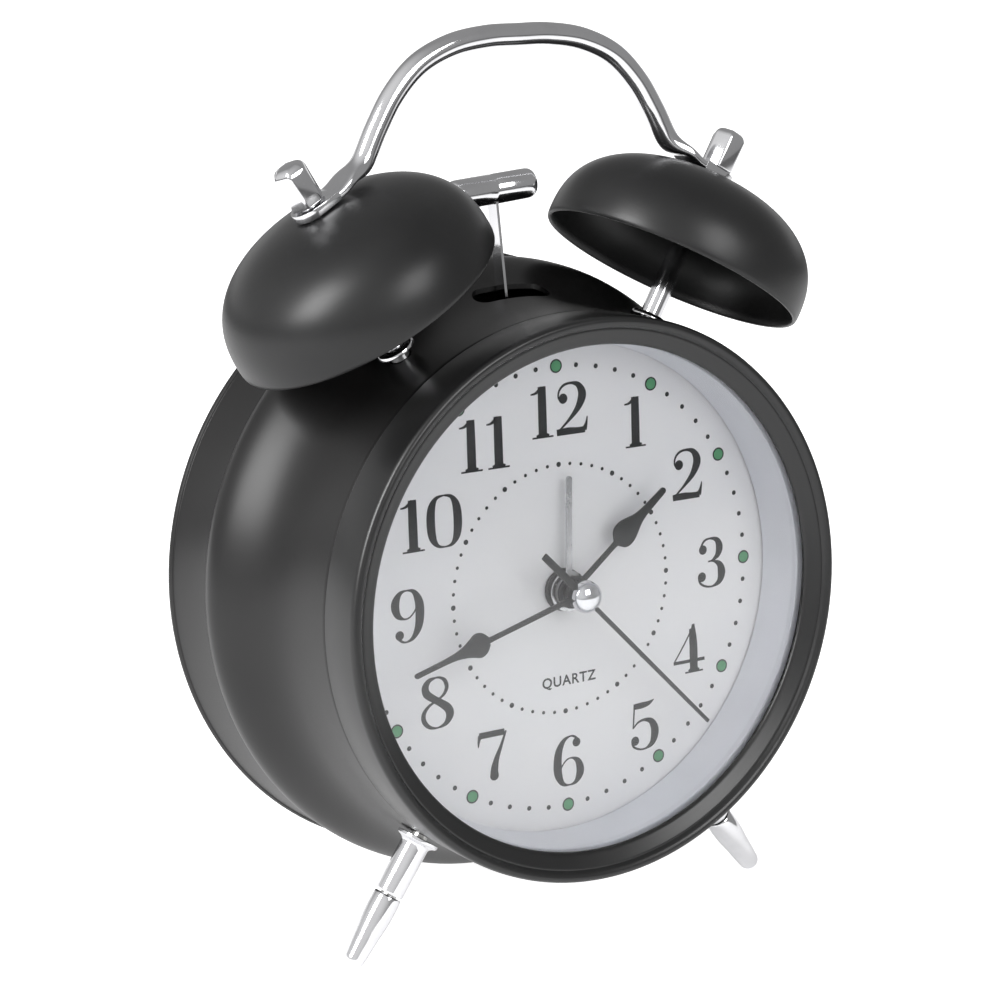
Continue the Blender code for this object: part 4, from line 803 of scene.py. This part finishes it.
def capNut(side, turn):
    letGo()
    bpy.ops.mesh.primitive_cylinder_add(vertices=6, radius=nut["radius"] * mm, depth=nut["height"] * mm,
                                        location=(0, 0, nut["middle"] * mm))
    piece = bpy.context.object
    piece.name = "cap_nut_" + side
    bpy.ops.object.transform_apply(location=True, rotation=True, scale=True)
    bpy.ops.object.mode_set(mode="EDIT")
    chooseFaces(piece, lambda up: up > 0.9)
    bpy.ops.mesh.bevel(offset=nut["dome"] * mm, segments=7, profile=0.5)
    chooseFaces(piece, lambda up: up < -0.9)
    bpy.ops.mesh.inset(thickness=nut["wall"] * mm)
    bpy.ops.mesh.extrude_region_move(TRANSFORM_OT_translate={"value": (0, 0, nut["bore"] * mm)})
    bpy.ops.mesh.select_mode(type="VERT")
    bpy.ops.object.mode_set(mode="OBJECT")
    soften(piece, nut["corner"] * mm, 3, 24)
    settle(piece, turn @ Matrix.Rotation(math.radians(30), 4, "Z"))
    smooth(piece, 28)
    place(piece, "clock_case", "chrome", "bell_cap_nut_" + side)


for side, sign in (("left", -1), ("right", 1)):
    bellShell(side, sign * fittings["postAngle"])
    for part in (postRod, postWasher, capNut):
        part(side, spoke(sign * fittings["postAngle"], fittings["postDepth"] * mm))
print("bells and posts made")

# carrying handle

# the bar is flat for its first sections at each end and round from a later one
handle = {"radius": 2.0, "tabThick": 1.5, "tabWide": 7.0, "tabMid": 81.35,
          "sides": 28, "flatUntil": 13, "roundFrom": 27,
          "rise": [(31.6, 76.9), (28.6, 82.4), (25.0, 88.0), (20.0, 92.8), (13.4, 95.75), (6.4, 96.9), (0, 97.0)]}


def handleRoute():
    tilt = math.radians(fittings["postAngle"])
    out = Vector((math.sin(tilt), math.cos(tilt)))
    along = Vector((-out.y, out.x))
    tip = out * handle["tabMid"] + along * 2.2
    heel = out * handle["tabMid"] + along * 5.4
    bend = out * (handle["tabMid"] + 0.55) + along * 8.2
    half = [tip, heel, bend] + [Vector(p) for p in handle["rise"]]
    return flowing([(p.x, p.y) for p in half] + [(-p.x, p.y) for p in reversed(half[:-1])], 8)


def handleLoop(bm, line, i):
    # one section of the bar: a flat tab near the ends, a round rod between them
    x, z = line[i]
    last = len(line) - 1
    before = line[max(i - 1, 0)]
    after = line[min(i + 1, last)]
    way = Vector((after[0] - before[0], after[1] - before[1])).normalized()
    normal = Vector((-way.y, way.x))
    share = (min(i, last - i) - handle["flatUntil"]) / (handle["roundFrom"] - handle["flatUntil"])
    share = min(max(share, 0), 1)
    share = share * share * (3 - 2 * share)
    thick = handle["tabThick"] / 2 + (handle["radius"] - handle["tabThick"] / 2) * share
    wide = handle["tabWide"] / 2 + (handle["radius"] - handle["tabWide"] / 2) * share
    power = 0.32 + 0.68 * share
    loop = []
    for k in range(handle["sides"]):
        angle = 2 * math.pi * (k + 0.5) / handle["sides"]
        c, s = math.cos(angle), math.sin(angle)
        u = math.copysign(abs(c) ** power, c) * thick
        v = math.copysign(abs(s) ** power, s) * wide
        point = (x + normal.x * u, fittings["postDepth"] + v, z + normal.y * u)
        loop.append(bm.verts.new([value * mm for value in point]))
    return loop


def handleTab(side, degrees, inward):
    reach = handle["tabWide"] / 2
    outline = [(-inward * reach * math.cos(math.radians(a)), reach * math.sin(math.radians(a)))
               for a in range(-90, 91, 6)]
    outline += [(inward * 4.4, reach), (inward * 4.4, -reach)]
    tab = flatShape("handle_tab_" + side, [rising(outline), ring(1.8 * mm, 32)], handle["tabThick"] * mm)
    soften(tab, 0.3 * mm, 3, 40)
    lift = Matrix.Translation((0, 0, handle["tabMid"] * mm))
    return settle(tab, spoke(degrees, fittings["postDepth"] * mm) @ lift)


def handleBar():
    bm = bmesh.new()
    line = handleRoute()
    loops = [handleLoop(bm, line, i) for i in range(len(line))]
    sides = handle["sides"]
    for a, b in zip(loops, loops[1:]):
        for k in range(sides):
            bm.faces.new((a[k], a[(k + 1) % sides], b[(k + 1) % sides], b[k]))
    bm.faces.new(loops[0])
    bm.faces.new(list(reversed(loops[-1])))
    bar = drawn("handle_bar", bm)
    faceOut(bar)
    settle(bar, Matrix.Identity(4))
    for side, sign in (("left", -1), ("right", 1)):
        combine(bar, handleTab(side, sign * fittings["postAngle"], -sign), "UNION")
    for sign in (-1, 1):
        drill(bar, 1.8, 80, 84, 32, sign * fittings["postAngle"], fittings["postDepth"])
    smooth(bar, 40)
    place(bar, "clock_case", "chrome", "carry_handle")


handleBar()
print("handle made")

# feet

foot = {"base": 50.48, "seam": 61.58, "reach": 76.0, "radius": 2.6, "tip": 1.9}


def hanging(outline):
    return [(r * mm, -h * mm) for r, h in outline]


def footSleeve(side, turn):
    flange = [(3.7, 0.02), (3.88, 0.12), (3.9, 0.35), (3.85, 0.6), (3.6, 0.82), (3.1, 1.0), (2.75, 1.25),
              (2.62, 1.6), (2.6, 2.2)]
    sleeve = [(r, h + foot["base"]) for r, h in flange]
    sleeve += [(2.6, foot["seam"] - 0.4), (2.55, foot["seam"] - 0.18), (2.4, foot["seam"]), (1.65, foot["seam"]),
               (1.65, foot["base"] + 0.02)]
    upper = spinShape("foot_upper_" + side, hanging(sleeve), 48)
    settle(upper, turn)
    smooth(upper, 35)
    place(upper, "clock_case", "chrome", "foot_sleeve_" + side)


def footTip(side, turn):
    top = foot["seam"] + 0.3
    length = foot["reach"] - top
    outline = [(0, top + 6.4), (1.65, top + 6.4), (1.65, top), (2.38, top), (2.55, top + 0.16),
               (2.6, top + 0.4)]
    for i in range(1, 15):
        share = i / 14
        bulge = foot["radius"] + 0.15 * math.sin(math.pi * min(share * 1.6, 1))
        taper = (foot["radius"] - foot["tip"]) * share ** 1.8
        outline.append((bulge - taper, top + (length - foot["tip"]) * share))
    outline += [(foot["tip"] * math.cos(math.radians(a)),
                 foot["reach"] - foot["tip"] * (1 - math.sin(math.radians(a)))) for a in range(9, 91, 9)]
    lower = spinShape("foot_lower_" + side, hanging(outline), 48, False)
    settle(lower, turn)
    letGo()
    bpy.ops.mesh.primitive_cube_add(size=0.2, location=(0, 0, -0.1))
    ground = bpy.context.object
    bpy.ops.object.transform_apply(location=True, rotation=True, scale=True)
    # the tip ends flat on the ground
    bite(lower, ground)
    smooth(lower, 35)
    place(lower, "clock_case", "chrome", "foot_tip_" + side)


for side, sign in (("left", 1), ("right", -1)):
    down = spoke(180 + sign * fittings["footAngle"], fittings["footDepth"] * mm)
    down = down @ Matrix.Rotation(math.pi, 4, "X")
    footSleeve(side, down)
    footTip(side, down)
print("feet made")

# hammer

hammer = {"depth": 14.0, "pivot": 31.5, "rest": -4.5, "rise": 38.8, "radius": 2.7, "length": 17.0,
          "slit": (0.7, 3.2), "slitShort": 1.1}


def hammerPieces():
    turn = Matrix.Translation((0, hammer["depth"] * mm, hammer["pivot"] * mm)) @ Matrix.Rotation(
        math.radians(hammer["rest"]), 4, "Y")
    across = turn @ Matrix.Translation((0, 0, hammer["rise"] * mm)) @ Matrix.Rotation(math.pi / 2, 4, "Y")
    half = hammer["length"] / 2
    full = hammer["radius"]
    quarter = [(0, half), (1.35, half), (1.9, half - 0.1), (2.3, half - 0.3), (2.56, half - 0.65),
               (2.67, half - 1.1), (full, half - 1.6), (full, 0.42), (2.66, 0.30), (2.66, -0.30), (full, -0.42)]
    outline = quarter + [(r, -h) for r, h in reversed(quarter[:-4])]
    head = spinShape("hammer_barrel", rising(outline), 64, False)
    settle(head, across)
    letGo()
    bpy.ops.mesh.primitive_cube_add(size=1, location=(0, 0, 0))
    slit = bpy.context.object
    slit.scale = [size * mm for size in (*hammer["slit"], hammer["rise"])]
    bpy.ops.object.transform_apply(location=False, rotation=False, scale=True)
    settle(slit, turn @ Matrix.Translation((0, 0, (hammer["rise"] / 2 + full - hammer["slitShort"]) * mm)))
    bite(head, slit)
    smooth(head, 35)
    place(head, "hammer", "chrome", "hammer_head")


hammerPieces()
print("hammer made")

# rear controls

rear = {"face": 38.5, "gap": 0.3, "knob": 6.5, "knobThick": 5.0, "lobes": 30, "across": 14, "up": 6}


def setKnob(name, across, body, node):
    shaft = Matrix.Translation((across * mm, 0, rear["up"] * mm))
    outline = []
    count = rear["lobes"] * 6
    for i in range(count):
        wave = 0.5 - 0.5 * math.cos(2 * math.pi * rear["lobes"] * i / count)
        radius = rear["knob"] - 0.3 * wave ** 2
        angle = 2 * math.pi * i / count
        outline.append((radius * mm * math.cos(angle), radius * mm * math.sin(angle)))
    knob = flatShape(name, [outline], rear["knobThick"] * mm)
    soften(knob, 0.25 * mm, 2, 60)
    middle = rear["face"] + rear["gap"] + rear["knobThick"] / 2
    settle(knob, shaft @ Matrix.Translation((0, middle * mm, 0)) @ faceOn)
    for hollow, outline, steps in (("knob_dish", [(0, 43.3), (4.6, 43.3), (5.1, 44.6), (0, 44.6)], 48),
                                   ("knob_bore", [(0, 38), (1.6, 38), (1.6, 43.0), (0, 43.0)], 32)):
        cutter = spinShape(hollow, facing(outline), steps, False)
        settle(cutter, shaft @ faceOn)
        bite(knob, cutter)
    smooth(knob, 35)
    place(knob, body, "blackPlastic", node)


setKnob("time_knob_cap", rear["across"], "time_setter", "time_set_knob")
setKnob("alarm_knob_cap", -rear["across"], "alarm_setter", "alarm_set_knob")
print("rear knobs made")

# finishes on what stays from the frame

kept = {
    "chassis_plate": "whitePlastic", "movement_case": "blackPlastic", "movement_lid": "blackPlastic",
    "centre_nut": "blackPlastic", "alarm_pipe": "zincSteel", "hour_pipe": "handBlack", "minute_pipe": "handBlack",
    "second_arbor": "zincSteel", "time_set_shaft": "whitePlastic", "alarm_set_shaft": "whitePlastic",
    "circuit_board": "boardGreen", "drive_coil": "copperWire", "post_nut_left": "zincSteel",
    "post_nut_right": "zincSteel", "foot_screw_left": "zincSteel", "foot_screw_right": "zincSteel",
    "hammer_arm": "chrome", "hammer_lever": "blackPlastic", "striker_plate": "zincSteel",
    "hammer_pivot_pin": "zincSteel", "striker_motor": "zincSteel", "striker_crank": "whitePlastic",
    "striker_screw_left": "zincSteel", "striker_screw_right": "zincSteel", "rear_cover": "blackPlastic",
    "battery_door": "blackPlastic", "battery_cell": "cellSleeve", "contact_plus": "zincSteel",
    "contact_spring": "zincSteel", "cover_screw_right": "zincSteel", "cover_screw_bottom": "zincSteel",
    "cover_screw_left": "zincSteel", "alarm_switch": "blackPlastic",
}
for node, key in kept.items():
    dress(bpy.data.objects[node], key)
print("finishes laid on", len(kept), "nodes")

# floor, light and camera

# nearGlow, seenGlow and shade set the floor's painted light: its emission glow and the painted shade farther off
studio = {"floor": (0.86, 0.86, 0.865), "nearGlow": 0.45, "seenGlow": 0.95, "shade": 0.12,
          "bright": 0.85, "dark": 0.32, "brightSide": (-0.95, -0.25, 0.15), "backdrop": 0.85}


def floorFinish():
    # the camera sees an even pale floor; mirrors see it bright beside the clock and dim farther off. That brightness
    # is painted light: the floor glows with emission, and for reflections its glow and its colour fade with distance
    # into painted shade
    material = bpy.data.materials.new("pale floor")
    material.use_nodes = True
    nodes = material.node_tree.nodes
    links = material.node_tree.links
    shader = nodes["Principled BSDF"]
    shader.inputs["Roughness"].default_value = 0.7
    place = nodes.new("ShaderNodeTexCoord")
    away = nodes.new("ShaderNodeVectorMath")
    away.operation = "LENGTH"
    fade = rangeNode(nodes, 0.35, 0.95, 1.0, studio["shade"], even=False)
    cloud = nodes.new("ShaderNodeTexNoise")
    cloud.inputs["Scale"].default_value = 3
    cloudRange = rangeNode(nodes, 0.0, 1.0, 0.97, 1.0)
    seen = nodes.new("ShaderNodeLightPath")
    most = mathNode(nodes, "MAXIMUM")
    tone = nodes.new("ShaderNodeMix")
    tone.data_type = "RGBA"
    tone.inputs["A"].default_value = (0, 0, 0, 1)
    tone.inputs["B"].default_value = (*studio["floor"], 1)
    share = mathNode(nodes, "MULTIPLY")
    glow = mathNode(nodes, "MULTIPLY", studio["nearGlow"])
    seenGlow = mathNode(nodes, "MULTIPLY", studio["seenGlow"])
    anyGlow = mathNode(nodes, "MAXIMUM")
    links.new(place.outputs["Object"], away.inputs[0])
    links.new(away.outputs["Value"], fade.inputs["Value"])
    links.new(place.outputs["Object"], cloud.inputs["Vector"])
    links.new(cloud.outputs["Fac"], cloudRange.inputs["Value"])
    links.new(seen.outputs["Is Camera Ray"], most.inputs[0])
    links.new(fade.outputs["Result"], most.inputs[1])
    links.new(most.outputs["Value"], share.inputs[0])
    links.new(cloudRange.outputs["Result"], share.inputs[1])
    links.new(share.outputs["Value"], tone.inputs["Factor"])
    links.new(tone.outputs["Result"], shader.inputs["Base Color"])
    links.new(fade.outputs["Result"], glow.inputs[0])
    links.new(seen.outputs["Is Camera Ray"], seenGlow.inputs[0])
    links.new(glow.outputs["Value"], anyGlow.inputs[0])
    links.new(seenGlow.outputs["Value"], anyGlow.inputs[1])
    # painted light: the floor's emission glows like a lamp, full for camera rays and fading away from the clock for
    # reflections
    shader.inputs["Emission Color"].default_value = (1, 1, 1, 1)
    links.new(anyGlow.outputs["Value"], shader.inputs["Emission Strength"])
    return material


def layFloor():
    letGo()
    bpy.ops.mesh.primitive_plane_add(size=6, location=(0, 0, 0))
    floor = bpy.context.object
    floor.name = "floor"
    floor.data.materials.append(floorFinish())


def lightRoom():
    # the camera sees white; the clock sees a room that is bright to one side and low behind it
    world = bpy.data.worlds.new("studio")
    world.use_nodes = True
    nodes = world.node_tree.nodes
    links = world.node_tree.links
    room = nodes["Background"]
    room.inputs["Color"].default_value = (1, 1, 1, 1)
    backdrop = nodes.new("ShaderNodeBackground")
    backdrop.inputs["Color"].default_value = (1, 1, 1, 1)
    mix = nodes.new("ShaderNodeMixShader")
    seen = nodes.new("ShaderNodeLightPath")
    way = nodes.new("ShaderNodeTexCoord")
    side = nodes.new("ShaderNodeVectorMath")
    side.operation = "DOT_PRODUCT"
    side.inputs[1].default_value = Vector(studio["brightSide"]).normalized()
    ramp = rangeNode(nodes, -0.1, 0.85, studio["dark"], studio["bright"], even=False)
    split = nodes.new("ShaderNodeSeparateXYZ")
    low = rangeNode(nodes, 0.36, 0.08, even=False)
    behind = rangeNode(nodes, -0.1, 0.4, 0.0, studio["backdrop"], even=False)
    paper = mathNode(nodes, "MULTIPLY")
    lightest = mathNode(nodes, "MAXIMUM")
    links.new(way.outputs["Generated"], split.inputs["Vector"])
    links.new(split.outputs["Z"], low.inputs["Value"])
    links.new(split.outputs["Y"], behind.inputs["Value"])
    links.new(low.outputs["Result"], paper.inputs[0])
    links.new(behind.outputs["Result"], paper.inputs[1])
    links.new(way.outputs["Generated"], side.inputs[0])
    links.new(side.outputs["Value"], ramp.inputs["Value"])
    links.new(ramp.outputs["Result"], lightest.inputs[0])
    links.new(paper.outputs["Value"], lightest.inputs[1])
    links.new(lightest.outputs["Value"], room.inputs["Strength"])
    links.new(seen.outputs["Is Camera Ray"], mix.inputs["Fac"])
    links.new(room.outputs["Background"], mix.inputs[1])
    links.new(backdrop.outputs["Background"], mix.inputs[2])
    links.new(mix.outputs["Shader"], nodes["World Output"].inputs["Surface"])
    bpy.context.scene.world = world


def softBox(name, azimuth, elevation, distance, size, power):
    # azimuth 0 is straight in front of the dial, positive to the right
    turn = math.radians(azimuth)
    rise = math.radians(elevation)
    aim = Vector((0, 0, 80 * mm))
    where = aim + distance * Vector((math.cos(rise) * math.sin(turn), -math.cos(rise) * math.cos(turn),
                                     math.sin(rise)))
    letGo()
    bpy.ops.object.light_add(type="AREA", location=where)
    lamp = bpy.context.object
    lamp.name = name
    lamp.data.shape = "RECTANGLE"
    lamp.data.size, lamp.data.size_y = size
    lamp.data.energy = power
    lamp.rotation_euler = (aim - where).to_track_quat("-Z", "Y").to_euler()


layFloor()
lightRoom()
softBox("left soft box", -86, 29, 0.9, (0.36, 0.52), 7.6)
softBox("front soft box", 8, 30, 1.0, (0.46, 0.46), 4.2)


view = {"place": (-0.24748, -0.38342, 0.22067), "turn": (72.2283, -1.9878, -31.6945), "lens": 95.58}


def setCamera():
    letGo()
    bpy.ops.object.camera_add(location=view["place"])
    camera = bpy.context.object
    camera.rotation_euler = [math.radians(angle) for angle in view["turn"]]
    camera.data.lens = view["lens"]
    camera.data.sensor_width = 36
    camera.data.clip_start = 0.01
    bpy.context.scene.camera = camera


setCamera()
bpy.context.scene.view_settings.view_transform = "Standard"
print("studio ready")
